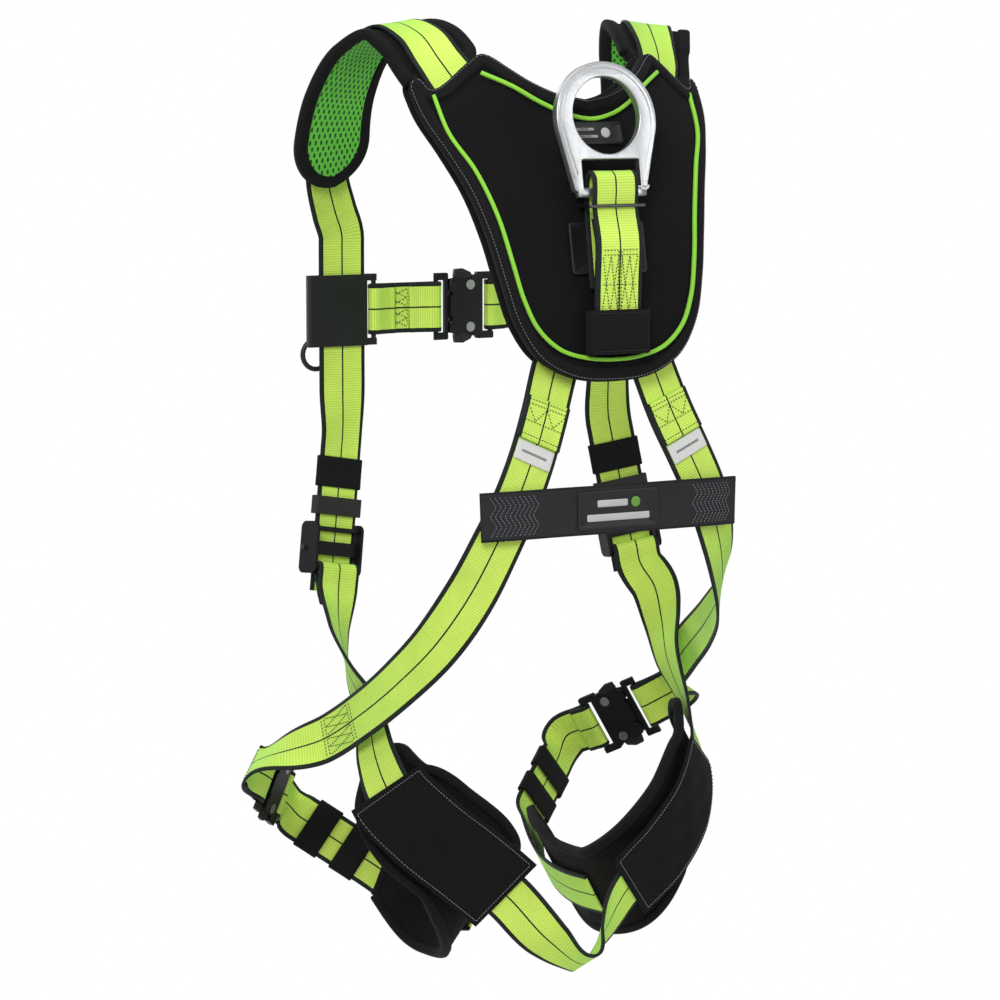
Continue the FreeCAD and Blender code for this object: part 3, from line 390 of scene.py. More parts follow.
HIDDEN = [(1.5, -163), (20, -143), (45, -113), (70, -84), (88, -60), (102, -40)]
OVER = [(110, -9, -21), (117, -31, 1), (128, -58, 10.6), (144, -88, -7), (157, -108, -46),
        (161, -118, -90), (157, -126, -126), (147, -133, -152)]
OVER_N = [(0.3, 0.62, 0.74), (0.22, 0.3, 0.93), (0.25, -0.3, 0.92), (0.35, -0.72, 0.6),
          (0.32, -0.92, 0.2), (0.2, -0.97, 0.05), (0.1, -0.99, 0.0), (0.02, -1, 0)]
UPRIGHT = [(138, -137, z) for z in (-175, -184, -300, -309)]
TORSO_AXIS = unit([16.0, 12.0, -104.0])
TORSO_TOP = np.array([139, -136.5, -352.0])
TORSO_N = (0.20, -0.98, -0.08)
LOWER = [tuple(TORSO_TOP + TORSO_AXIS * s) for s in (0, 8, 130, 138)]
DEPTH = {"left": 13.9, "right": 17.1}
SHOULDER = {}
for side, k in (("left", 1), ("right", -1)):
    seen_p, seen_n = OVER + UPRIGHT + LOWER, OVER_N + [(0, -1, 0)] * 4 + [TORSO_N] * 4
    if k < 0:
        seen_p, seen_n = flip(seen_p), flip(seen_n)
    SHOULDER[side] = Run([on_back(k * x, z, DEPTH[side]) for x, z in HIDDEN] + seen_p,
                         [back_n(k * x, z) for x, z in HIDDEN] + seen_n)
    lime_web(side + "_shoulder_web", SHOULDER[side], "harness")

# ------------------------------------------------------------------ hip webs
# The same webs carried on from the crossing: out under the back pad, over the hip and
# forward to the leg buckle tongue, where each is folded round the bar and sewn back.
FOLD_R, LAYER, TAIL = 3.8, 2.8, 38.0


def axes(o, f, n):
    x = unit(f)
    z = np.array(n, float)
    z = unit(z - x * z.dot(x))
    return np.array(o, float), x, np.cross(z, x), z


def spot(f, x, y, z):
    return tuple(f[0] + f[1] * x + f[2] * y + f[3] * z)


def fold_over(points, normals, tail):
    """Fold round a bar at the end of a run, then a tail sewn back along the inner side."""
    main = Run(points, normals)
    c, t, w, n = [a[0] for a in main.at(main.length)]
    bar = c - n * FOLD_R
    turn = np.radians([20, 40, 65, 90, 115, 140, 160, 180])
    radial = n * np.cos(turn)[:, None] + t * np.sin(turn)[:, None]
    back = np.array([10.0, 18.0, (18.0 + tail) / 2.0, tail])
    c, t, w, n = main.at(main.length - back)
    deep = LAYER + (2 * FOLD_R - LAYER) * np.maximum(0, 1 - back / 18.0)
    return (list(points) + list(bar + radial * FOLD_R) + list(c - n * deep[:, None]),
            list(normals) + list(radial) + list(-n))


BUCKLES = {"left_leg": axes((204, -160, -657), (-0.60, -0.66, -0.44), (0.62, -0.76, 0.2)),
           "right_leg": axes((-200, -168, -628), (0.56, -0.70, -0.42), (-0.66, -0.72, 0.2)),
           "chest": axes((42, -139, -240), (-1, 0, 0), (0, -1, 0))}
UNDER = [(1.5, -169), (14, -195), (30, -234), (47, -278)]
HIP = [(64, 86, -322), (79, 92, -356), (95, 94, -390), (110, 88, -424), (125, 74, -464),
       (143, 44, -512), (157, 2, -551), (168, -46, -585), (180, -90, -612)]
HIP_N = [(0.0, 1, 0.1), (0.03, 1, 0.05), (0.1, 1, 0), (0.22, 0.97, 0), (0.4, 0.9, 0.05),
         (0.72, 0.68, 0.1), (0.93, 0.36, 0.1), (0.98, 0.15, 0.12), (0.98, 0.05, 0.15)]
HIPS = {}
for side, k, lift, depth in (("left", 1, 0.0, 17.1), ("right", -1, 32.0, 13.9)):
    f = BUCKLES[side + "_leg"]
    run = [(k * x, y, z + lift * min(1.0, max(0.0, (-z - 420) / 150.0))) for x, y, z in HIP]
    near = [spot(f, -26, 0, FOLD_R + 3.0), spot(f, -10, 0, FOLD_R), spot(f, 0, 0, FOLD_R)]
    pts = [on_back(k * x, z, depth) for x, z in UNDER] + run + near
    nrm = [back_n(k * x, z) for x, z in UNDER] + (HIP_N if k > 0 else flip(HIP_N)) + [tuple(f[3])] * 3
    HIPS[side] = Run(pts, nrm)
    lime_web(side + "_hip_web", Run(*fold_over(pts, nrm, TAIL)), "harness", 3.0)

# ------------------------------------------------------------------ stitching
# Bonded thread, 0.7 mm, lock-stitched: each visible stitch is a short bowed strand that
# dips into the web at both ends.


def strands(name, a, b, n, body, r=0.36):
    """Bowed strands from points a to b (mm arrays) lying on a face with outward normals n."""
    u = np.linspace(0, 1, 5)
    bow = np.array([-0.5, 0.22, 0.42, 0.22, -0.5]) * (r / 0.36)
    mid = a[:, None] + (b - a)[:, None] * u[None, :, None] + n[:, None] * bow[None, :, None]
    along = unit(b - a)
    side = np.cross(n, along)
    th = np.radians(np.arange(5) * 72.0)
    ring = (side[:, None] * np.cos(th)[None, :, None] + n[:, None] * np.sin(th)[None, :, None]) * r
    verts = (mid[:, :, None] + ring[:, None]).reshape(-1, 3)
    one = tube_faces(5, 5)
    return put(name, verts, [[25 * k + j for j in f] for k in range(len(a)) for f in one], body)


def sew(name, run, lines, body, rise=1.25, pitch=2.9, gap=0.8, r=0.36, face=1.0):
    """Stitches along straight lines given as (across, along) pairs on a run's outer face."""
    starts, ends = [], []
    for line in lines:
        q = np.array(line, float)
        for p0, p1 in zip(q[:-1], q[1:]):
            count = max(1, int(np.linalg.norm(p1 - p0) / pitch))
            u = np.arange(count) / count
            starts.append(p0 + (p1 - p0) * u[:, None])
            ends.append(p0 + (p1 - p0) * (u + (1 - gap / pitch) / count)[:, None])
    q0, q1 = np.vstack(starts), np.vstack(ends)
    c0, t, w0, n0 = run.at(q0[:, 1])
    c1, t, w1, n1 = run.at(q1[:, 1])
    a = c0 + w0 * q0[:, :1] + n0 * rise * face
    b = c1 + w1 * q1[:, :1] + n1 * rise * face
    return strands(name, a, b, unit(n0 + n1) * face, body, r)


twist, gi, go = group("thread_twist", [("Dim", COL, (0, 0, 0, 1)), ("Bright", COL, (1, 1, 1, 1))],
                      [("Color", COL), ("Height", VAL)])
ply = noise(twist, 1500.0, 2.0)
twist.links.new(mix(twist, ply, gi.outputs["Dim"], gi.outputs["Bright"]), go.inputs["Color"])
twist.links.new(ply, go.inputs["Height"])


def thread_material(name, col):
    return grained(name, twist, (0.4, 0.0003), {"Roughness": 0.5}, Dim=dimmed(col, 0.55), Bright=col)


THREAD_DARK = thread_material("thread_dark", (0.03, 0.045, 0.02, 1))
THREAD_GREY = thread_material("thread_grey", (0.26, 0.26, 0.28, 1))
THREAD_BLACK = thread_material("thread_black", (0.02, 0.02, 0.022, 1))


def stitch(name, run, lines, body="harness", thread=THREAD_DARK, slot="webbing_lime", **how):
    wear(sew(name, run, lines, body, **how), thread)


SEW_HALF = 17.0


def across(marks, half=SEW_HALF):
    """Straight rows across a run at the given distances."""
    return [[(-half, q), (half, q)] for q in marks]


def x_box(s0, s1):
    """Double end rows with a pair of zigzags between."""
    rows = across((s0, s0 + 4, s1 - 4, s1))
    for lo, hi in ((-SEW_HALF, -1.5), (1.5, SEW_HALF)):
        c = (lo + hi) / 2
        rows.append([(lo, s0 + 5), (c, s1 - 5), (hi, s0 + 5)])
        rows.append([(lo, s1 - 5), (c, s0 + 5), (hi, s1 - 5)])
    return rows


for side in ("left", "right"):
    end = HIPS[side].length
    stitch(side + "_tongue_stitch", HIPS[side], x_box(end - 34, end - 13))
    stitch(side + "_hip_stitch", HIPS[side], x_box(end - 146, end - 104))

# ------------------------------------------------------------------ load indicators
# A pleat of the same web doubled and tacked with light stitching, which tears open under
# load, over a white woven label.
pleats, labels = [], []
for side in ("left", "right"):
    run = HIPS[side]
    pleats.append(strip(side + "_load_pleat", run, "harness", 44.0, WEB_T, 2.85, 150.0, 188.0, 2.0))
    stitch(side + "_load_stitch", run, across((153, 157, 172, 184), 19)
           + [[(-19, 158), (-9, 171), (0, 158), (9, 171), (19, 158)]], rise=4.1)
    labels.append(strip(side + "_load_label", run, "harness", 37.0, 0.8, 2.0, 189.5, 206.5, 2.0))
wear(pleats, LIME)
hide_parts("load_pleats")
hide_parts("load_labels")
m, t, p = material("label_white")
uv, u, v = uv_parts(t)
bar = calc(t, "LESS_THAN", calc(t, "ABSOLUTE", calc(t, "SUBTRACT", v, 0.198)), 0.0011)
bar = calc(t, "MULTIPLY", bar, calc(t, "LESS_THAN", calc(t, "ABSOLUTE", calc(t, "SUBTRACT", u, 0.5)), 0.34))
cloth = mix(t, noise(t, 700.0, 3.0), (0.66, 0.66, 0.63, 1), (0.8, 0.8, 0.78, 1))
t.links.new(mix(t, calc(t, "MULTIPLY", bar, 0.8), cloth, (0.12, 0.12, 0.12, 1)), p.inputs["Base Color"])
p.inputs["Roughness"].default_value = 0.75
bumped(t, p, calc(t, "MULTIPLY", wave(t, u, 300.0), wave(t, v, 8000.0)), 0.25, 0.0002)
wear(labels, m)

# ------------------------------------------------------------------ cross band
# Plain black 42 mm band sewn flat over both hip webs at the waist, so they can't spread.
BLACK_WEB = web_material("webbing_black", (0.024, 0.024, 0.027, 1), (0.007, 0.007, 0.008, 1), 0.0, 0.05, 0.02)


def band_run():
    """Line from hip web to hip web, resting on each where it passes z = -399."""
    ends = []
    for side in ("left", "right"):
        s = np.arange(150.0, 400.0, 0.5)
        c, t, w, n = HIPS[side].at(s)
        k = int(np.argmax(c[:, 2] <= -399.0))
        ends.append(c[k] + n[k] * (2.8 + 3.1))
    a, b = ends
    k, back = np.array([27.0, 0, 0]), np.array([0, -8.0, -1.0])
    return Run([a + k + back, a, (60, a[1] + 2.5, -399), (0, a[1] + 4.0, -399),
                (-60, b[1] + 2.5, -399), b, b - k + back],
               [(0.42, 0.9, 0), (0.22, 0.97, 0), (0.05, 1, 0), (0, 1, 0), (-0.05, 1, 0),
                (-0.22, 0.97, 0), (-0.42, 0.9, 0)])


BAND = band_run()
band = strip("cross_band", BAND, "harness", 42.0, WEB_T, row=3.0)
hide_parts("cross_band")
wear(band, BLACK_WEB)
zig = []
for a in (8.0, BAND.length - 52.0):
    for k in range(10):
        q = a + 4.2 * k
        zig.append([(-17, q), (-8.5, q + 5.5), (0, q), (8.5, q + 5.5), (17, q)])
stitch("band_stitch", BAND, zig, thread=THREAD_GREY, slot="webbing_black", pitch=2.2, gap=0.6)


# Band label: a moulded rubber badge with a plain rim, two blank bars and a dot.
def rounded_rect(w, h, r, n=6):
    th = np.linspace(0, math.pi / 2, n)
    pts = []
    for cx, cy, a0 in ((w / 2 - r, h / 2 - r, 0), (-w / 2 + r, h / 2 - r, 90), (-w / 2 + r, -h / 2 + r, 180),
                       (w / 2 - r, -h / 2 + r, 270)):
        a = th + math.radians(a0)
        pts.append(np.stack([cx + r * np.cos(a), cy + r * np.sin(a)], 1))
    return np.vstack(pts)


def badge(name, place, w, h, r, thick, body, bead=0.0):
    """Rounded plate: outline rings stepped in over a bevelled edge, laid on a surface by place(x, y, z)."""
    rings = []
    sunk = thick - 0.35 * (bead > 0)
    for inset, z in ((0, 0), (0, thick - 0.4), (0.4, thick), (1.6 + bead, thick), (2.0 + bead, sunk)):
        q = rounded_rect(w - 2 * inset, h - 2 * inset, max(0.3, r - inset))
        rings.append(np.column_stack([q, np.full(len(q), z)]))
    for shrink in (0.5, 0.02):
        core = rings[-1].copy()
        core[:, :2] *= shrink
        rings.append(core)
    return put(name, place(np.vstack(rings)), inside_out(tube_faces(len(rings), len(rings[0]))), body)


def on_run(run, s, rise):
    def place(q):
        c, t, w, n = run.at(s + q[:, 0])
        return c + w * q[:, 1:2] + n * (q[:, 2:] + rise)
    return place


mould, gi, go = group("mould_grain", [("Base", COL, (0.1, 0.1, 0.1, 1)), ("Worn", COL, (0.1, 0.1, 0.1, 1)),
                                      ("Grain", VAL, 1800.0)],
                      [("Color", COL), ("Rough", VAL), ("Height", VAL)])
fine, cloud = noise(mould, gi.outputs["Grain"], 3.0), noise(mould, 34.0, 4.0)
mould.links.new(mix(mould, cloud, gi.outputs["Worn"], gi.outputs["Base"]), go.inputs["Color"])
mould.links.new(calc(mould, "ADD", calc(mould, "MULTIPLY", fine, 0.2),
                     calc(mould, "MULTIPLY_ADD", cloud, 0.15, 0.33)), go.inputs["Rough"])
mould.links.new(fine, go.inputs["Height"])


def moulded_material(name, col, grain=1800.0, depth=0.25):
    return grained(name, mould, (depth, 0.0002), {}, Base=col, Worn=dimmed(col, 0.65), Grain=grain)


RUBBER = moulded_material("badge_rubber", (0.011, 0.011, 0.012, 1))
MARK_PALE = moulded_material("mark_pale", (0.62, 0.62, 0.6, 1))
MARK_GREEN = moulded_material("mark_green", (0.16, 0.42, 0.05, 1))
mid = BAND.length / 2
plate = badge("band_label", on_run(BAND, mid, 1.6), 80, 33, 2.5, 1.0, "harness", 0.6)
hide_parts("band_label")
wear(plate, RUBBER)
for name, x, y, w, h, corner, paint in (("band_mark", 0, -6.5, 62, 6.0, 1.2, MARK_PALE),
                                        ("band_mark", -6, 5.5, 30, 6.0, 1.2, MARK_PALE),
                                        ("band_dot", 17, 5.5, 9, 9, 4.4, MARK_GREEN)):
    mark = badge(name, on_run(BAND, mid + x, 2.3), w, h, corner, 0.7, "harness")
    mark.data.transform(Matrix.Translation(Vector(BAND.at(mid + x)[2][0] * y * MM)))
    wear(mark, paint)

# ------------------------------------------------------------------ torso adjusters
# Pressed steel frame with two cheeks, painted black, and a toothed cam on a pin that
# bites the front web.  The lower web is folded over the bottom bar and sewn.
coat, gi, go = group("coat_wear", [("Base", COL, (0.1, 0.1, 0.1, 1)), ("Worn", COL, (0.3, 0.3, 0.3, 1)),
                                   ("Sheen", VAL, 0.4), ("Grain", VAL, 260.0)],
                     [("Color", COL), ("Rough", VAL), ("Height", VAL)])
fine, patch = noise(coat, gi.outputs["Grain"], 5.0), noise(coat, 36.0, 6.0, rough=0.7)
bare = node(coat, "ShaderNodeMapRange", {0: patch, 1: 0.62, 2: 0.72, 3: 0.0, 4: 1.0})
coat.links.new(mix(coat, bare.outputs[0], gi.outputs["Base"], gi.outputs["Worn"]), go.inputs["Color"])
even = calc(coat, "ADD", gi.outputs["Sheen"], calc(coat, "MULTIPLY_ADD", fine, 0.22, -0.11))
coat.links.new(calc(coat, "ADD", even, calc(coat, "MULTIPLY", patch, 0.12)), go.inputs["Rough"])
coat.links.new(fine, go.inputs["Height"])


def metal_material(name, col, rough, metallic, worn, grain=260.0):
    return grained(name, coat, (0.22, 0.0002), {"Metallic": metallic}, Base=col, Worn=worn, Sheen=rough,
                   Grain=grain)


def dress(names, mat, bevel=0.35):
    """CAD nodes whose shape is right: better finish and softened edges."""
    for n in names:
        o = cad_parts[n]
        wear(o, mat)
        b = o.modifiers.new("edges", "BEVEL")
        b.width, b.segments, b.limit_method = bevel * MM, 2, "ANGLE"
        b.harden_normals = True


BLACK_METAL = metal_material("black_metal", (0.014, 0.014, 0.016, 1), 0.38, 0.6, (0.05, 0.05, 0.052, 1))
LEVER_METAL = metal_material("lever_metal", (0.04, 0.04, 0.043, 1), 0.42, 0.8, (0.12, 0.12, 0.12, 1))
CAM_METAL = metal_material("cam_metal", (0.09, 0.09, 0.095, 1), 0.38, 0.9, (0.2, 0.2, 0.2, 1))
dress(["left_adjuster_frame", "right_adjuster_frame"], BLACK_METAL)
dress(["left_adjuster_cam", "right_adjuster_cam"], CAM_METAL)
ADJUST = {"left": axes(TORSO_TOP + TORSO_AXIS * 100, TORSO_AXIS, TORSO_N)}
ADJUST["right"] = axes(*[np.array(q) * [-1, 1, 1] for q in (ADJUST["left"][0], TORSO_AXIS, TORSO_N)])

# Front web: bar rows just under the chest slider and above the adjuster.
for side in ("left", "right"):
    run = SHOULDER[side]
    s = run.s[13]
    stitch(side + "_front_stitch", run, x_box(s - 104, s - 70) + across((run.length - 12, run.length - 8)))

# ------------------------------------------------------------------ sub-pelvic web
# One web from adjuster to adjuster: over each hip, through the thigh sleeve, behind the
# seat.  Both ends fold up round the adjuster's lower bar and are sewn back.
BAR_AT = (17.0, -7.0)
HIP_IN = {"left": [(165, -94, -518), (164.5, -77, -550), (157, -54, -586), (160, -34, -622),
                   (158, -12, -650), (136, 10, -680), (100, 22, -712), (60, 22, -746), (26, 36, -786)],
          "right": [(163, -94, -502), (161, -78, -528), (153, -55, -562), (160, -34, -606),
                    (158, -12, -646), (136, 10, -684), (100, 22, -720), (60, 22, -754), (26, 36, -788)]}
HIP_IN_N = [(0.62, -0.76, 0), (0.9, -0.42, 0.0), (0.99, 0.0, 0.1), (0.9, 0.42, 0.1), (0.68, 0.72, 0.08),
            (0.38, 0.9, -0.1), (0.16, 0.95, -0.2), (0.06, 0.93, -0.35), (0.04, 0.75, -0.65)]


def pelvic_half(side):
    f = ADJUST[side]
    hip = HIP_IN[side] if side == "left" else flip(HIP_IN[side])
    first = [spot(f, BAR_AT[0] + a, 0, BAR_AT[1] - FOLD_R) for a in (0, 14)]
    n = HIP_IN_N if side == "left" else flip(HIP_IN_N)
    return first + hip, [tuple(f[3])] * 2 + n


def fold_up(points, normals):
    p, n = fold_over(points[3::-1], [tuple(-np.array(q)) for q in normals[3::-1]], TAIL)
    return [tuple(q) for q in p[4:]], [tuple(-np.array(q)) for q in n[4:]]


lp, ln = pelvic_half("left")
rp, rn = pelvic_half("right")
mid_p, mid_n = lp + [(0, 50, -806)] + rp[::-1], ln + [(0, 0.5, -0.87)] + rn[::-1]
PELVIC = Run(mid_p, mid_n)
(ap, an), (bp, bn) = fold_up(lp, ln), fold_up(rp, rn)
lime_web("sub_pelvic_web", Run(ap[::-1] + mid_p + bp, an[::-1] + mid_n + bn), "harness", 3.0)
stitch("pelvic_stitch", PELVIC, x_box(12, 36) + x_box(PELVIC.length - 36, PELVIC.length - 12))

# ------------------------------------------------------------------ leg webs
# From the quick-connect socket across the front of each thigh, through two elastic
# keepers, to the sling.
STRAIGHT = {"left": 103.0, "right": 88.0}
KEEP = {"left": ((137, -227, -712), (85, -185, -753)), "right": ((-142, -233, -685), (-90, -196, -725))}
LEG_RUN = {"left": [(76, -166, -762), (58, -110, -774), (56, -60, -772), (60, -30, -766)],
           "right": [(-80, -175, -738), (-60, -112, -762), (-56, -60, -768), (-60, -30, -768)]}
LEG_N = [(-0.66, -0.62, -0.4), (-0.85, -0.15, -0.5), (-0.85, 0.1, -0.5), (-0.8, 0.3, -0.5)]
LIFT = FOLD_R + LAYER
LEGS = {}
for side in ("left", "right"):
    f = BUCKLES[side + "_leg"]
    a, b = np.array(KEEP[side], float)
    line = [tuple(a + (b - a) * u) for u in (0.0, 0.12, 0.88, 1.0)]
    pts = [spot(f, x, 0, LIFT) for x in (54, 70, STRAIGHT[side])] + line + LEG_RUN[side]
    n = [(-0.42, -0.85, -0.3)] * 4 + LEG_N
    LEGS[side] = Run(pts, [tuple(f[3])] * 3 + (n if side == "left" else flip(n)))
    lime_web(side + "_leg_web", LEGS[side], "harness", 3.0)
    stitch(side + "_leg_stitch", LEGS[side], across((4, 8)))

# ------------------------------------------------------------------ quick-connect buckles
# Black-coated steel: two waisted plates riveted round a core, a pair of release levers,
# and a tongue plate that snaps in.  The green dot is the locked indicator.
STEEL = metal_material("rivet_steel", (0.42, 0.42, 0.43, 1), 0.32, 1.0, (0.3, 0.3, 0.3, 1))
BUCKLE_PITCH, LOOP_END = 56.0, 72.0
for b in ("left_leg", "right_leg", "chest"):
    dress([b + "_tongue", b + "_socket"], BLACK_METAL)
    dress([b + "_upper_lever", b + "_lower_lever"], LEVER_METAL)
    dress([b + "_rivets"], STEEL, 0.25)
    f = BUCKLES[b]
    far, bar = LOOP_END, BUCKLE_PITCH
    pts, nrm = [(far, FOLD_R), (bar + 8, FOLD_R), (bar, FOLD_R)], [(0, 1)] * 3
    for turn in np.radians([22, 45, 68, 90, 112, 135, 158, 180]):
        pts.append((bar - FOLD_R * math.sin(turn), FOLD_R * math.cos(turn)))
        nrm.append((-math.sin(turn), math.cos(turn)))
    pts += [(bar + 8, -1.6), (far, FOLD_R - LAYER)]
    nrm += [(0.2, -1), (0.1, -1)]
    loop = Run([spot(f, x, 0, z) for x, z in pts], [tuple(f[1] * x + f[3] * z) for x, z in nrm])
    lime_web(b + "_socket_loop", loop, b + "_catch", 2.0)
    stitch(b + "_loop_stitch", loop, across((2, 5)), b + "_catch")

    def on_plate(q, f=f):
        return f[0] + f[1] * (40 + q[:, :1]) + f[2] * q[:, 1:2] + f[3] * (q[:, 2:] + 4.25)

    dot = badge(b + "_indicator", on_plate, 4.6, 4.6, 2.3, 0.7, b + "_catch")
    wear(dot, MARK_GREEN)

# ------------------------------------------------------------------ chest strap
# Moulded sleeves slide on the front webs and carry a short web each, folded round a
# steel bar and sewn back with a boxed zigzag.

PLASTIC = moulded_material("plastic_black", (0.012, 0.012, 0.013, 1), 1300.0, 0.35)
dress(["left_chest_slider", "right_chest_slider", "torso_clips"], PLASTIC, 0.5)
dress(["left_lanyard_keeper", "right_lanyard_keeper"], PLASTIC, 0.1)
FRONT_X, SLIDER_HALF, CHEST_Y, CHEST_Z = 138.0, 34.0, -139.0, -240.0
BAR_X = FRONT_X - SLIDER_HALF + 1.2
for side in ("left", "right"):
    if side == "left":
        pts = [(x, CHEST_Y - FOLD_R, CHEST_Z) for x in (BAR_X, BAR_X - 16, 54, 42)]
        nrm = [(0, -1, 0)] * 4
        near_p, near_n = fold_over(pts, nrm, 26.0)
        far_p, far_n = fold_over(pts[::-1], nrm, 22.0)
    else:
        low = CHEST_Y - LIFT
        pts = [(-BAR_X, CHEST_Y - FOLD_R, CHEST_Z), (-BAR_X + 8, CHEST_Y - FOLD_R - 0.4, CHEST_Z),
               (-BAR_X + 20, low, CHEST_Z), (-34, low, CHEST_Z), (-12, low, CHEST_Z)]
        nrm = [(0, -1, 0)] * 5
        near_p, near_n = pts, nrm
        far_p, far_n = fold_over(pts[::-1], nrm, 24.0)
    k = len(pts)
    strap = Run(pts, nrm)
    full = Run([tuple(q) for q in far_p[k:]][::-1] + [tuple(q) for q in near_p],
               [tuple(q) for q in far_n[k:]][::-1] + [tuple(q) for q in near_n])
    lime_web(side + "_chest_web", full, "chest", 2.0)
    rows = x_box(8, 36) if side == "right" else x_box(12, 40)
    stitch(side + "_chest_stitch", strap, rows, "chest")
    stitch(side + "_chest_stitch_rear", strap, rows, "chest", face=-1.0)

# ------------------------------------------------------------------ keepers
# Black elastic bands woven as tubes, fine ribs round them, that hold the loose web ends.

ribs, gi, go = group("tape_ribs", [("Base", COL, (0.02, 0.02, 0.02, 1)),
                                   ("Valley", COL, (0.01, 0.01, 0.01, 1)), ("Pitch", VAL, 1500.0)],
                     [("Color", COL), ("Height", VAL)])
uv, u, v = uv_parts(ribs)
# Painted light and shade: the base colour on the rib crests, broken by noise, and a dimmed copy of it in the
# valleys between ribs.
rib = ridge(ribs, v, gi.outputs["Pitch"])
cross = calc(ribs, "MULTIPLY", rib, wave(ribs, u, 900.0))
lit_rib = calc(ribs, "MULTIPLY", rib, noise(ribs, 500.0, 3.0))
ribs.links.new(mix(ribs, lit_rib, gi.outputs["Valley"], gi.outputs["Base"]), go.inputs["Color"])
ribs.links.new(calc(ribs, "ADD", rib, calc(ribs, "MULTIPLY", cross, 0.3)), go.inputs["Height"])


def ribbed_material(name, col, pitch=1500.0):
    # The valley colour is the material's own colour dimmed to 0.45, painted shade between the ribs.
    look = {"Roughness": 0.8, "Sheen Weight": 0.02, "Specular IOR Level": 0.2}
    return grained(name, ribs, (0.5, 0.0004), look, Base=col, Valley=dimmed(col, 0.45), Pitch=pitch)


ELASTIC = ribbed_material("elastic", (0.009, 0.009, 0.01, 1))


def sleeve_band(name, centre, t, w, n, body, length, inner, wall, half=23.3):
    """Flat tube round a web: a rounded-rectangle loop with thickness, slightly waisted."""
    th = rounded_rect(2 * half + wall, inner + wall, (inner + wall) / 2.2, 5)
    step = np.linalg.norm(np.roll(th, -1, 0) - th, axis=1)
    around = np.concatenate([[0], np.cumsum(step)[:-1]])
    stations = np.array([-0.5, -0.47, -0.25, 0, 0.25, 0.47, 0.5]) * length
    swell = np.array([0, 1, 0.85, 0.8, 0.85, 1, 0]) * wall / 2
    out = unit(np.stack([np.sign(th[:, 0]) * (np.abs(th[:, 0]) > half - 1), np.sign(th[:, 1])], 1))
    verts, uv = [], []
    for sgn, order in ((1, range(7)), (-1, range(6, -1, -1))):
        for k in order:
            q = th + out * swell[k] * sgn
            verts.append(centre + t * stations[k] + w * q[:, :1] + n * q[:, 1:])
            uv.append(np.stack([around * MM, np.full(len(th), stations[k] * MM)], 1))
    v = np.vstack(verts)
    f = lattice(2 * len(stations) + 1, len(th), True) % len(v)
    o = put(name, v, f.tolist(), body, np.vstack(uv))
    wear(o, ELASTIC)
    return o


for side, k in (("left", 1), ("right", -1)):
    m = np.array([k, 1, 1])
    ax = axes((TORSO_TOP + TORSO_AXIS * 32) * m, TORSO_AXIS * m, np.array(TORSO_N) * m)
    tube = sleeve_band(side + "_torso_keeper", *ax, side + "_torso_slide", 27, 3.4, 1.5)
    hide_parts(side + "_torso_keeper")
    run = LEGS[side]
    for tag, s in (("a", run.s[3] + 20.0), ("b", run.s[6] - 20.0)):
        c, t, w, n = [q[0] for q in run.at(s)]
        tube = sleeve_band(side + "_leg_keeper_" + tag, c, t, w, n, side + "_leg_slide_" + tag, 24, 5.8, 1.5)
        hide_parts(side + "_leg_keeper_" + tag)

# ------------------------------------------------------------------ back pad
# Foam between black knitted fabric, sewn through along the piping and at the rim; the
# rim is covered by a folded woven tape.
OUTLINE = [(0, -56), (30, -50), (52, -40), (72, -26), (81, -19), (84, -17), (89, -19.6), (137, -44.4),
           (142, -47), (142, -52), (140, -72), (128, -103), (115, -135), (104, -175), (96, -212),
           (86, -246), (68, -272), (42, -286), (0, -291)]
NECK_POINTS, RIM_POINTS, CLOTH_FRAMES = 8, 240, 20


def closed_outline(half, count):
    """Evenly spaced points round a mirrored half outline, smooth except at the seams."""
    q = np.array(list(half) + [(-x, z) for x, z in half[-2:0:-1]], float)
    q = np.vstack([q, q[:1]])
    flat = np.column_stack([q[:, 0], np.zeros(len(q)), q[:, 1]])
    r = Run(flat, np.tile([0, 1.0, 0], (len(q), 1)))
    s = np.linspace(0, r.length, count, endpoint=False)
    return r.at(s)[0][:, [0, 2]]


def rim_line(scale, top, low, count):
    """The outline scaled about its axis, its neck edge lowered by top and the rest by low."""
    return closed_outline([(x * scale, z - (top if i < NECK_POINTS else low))
                           for i, (x, z) in enumerate(OUTLINE)], count)


def back_run(pairs, depth):
    """Line over the pad's outside through (x, z) pairs, at a depth below it."""
    return Run([on_back(x, z, depth) for x, z in pairs], [back_n(x, z) for x, z in pairs])


def read(items, key):
    """A vector property of every vertex or face as one array."""
    out = np.zeros(len(items) * 3)
    items.foreach_get(key, out)
    return out.reshape(-1, 3)


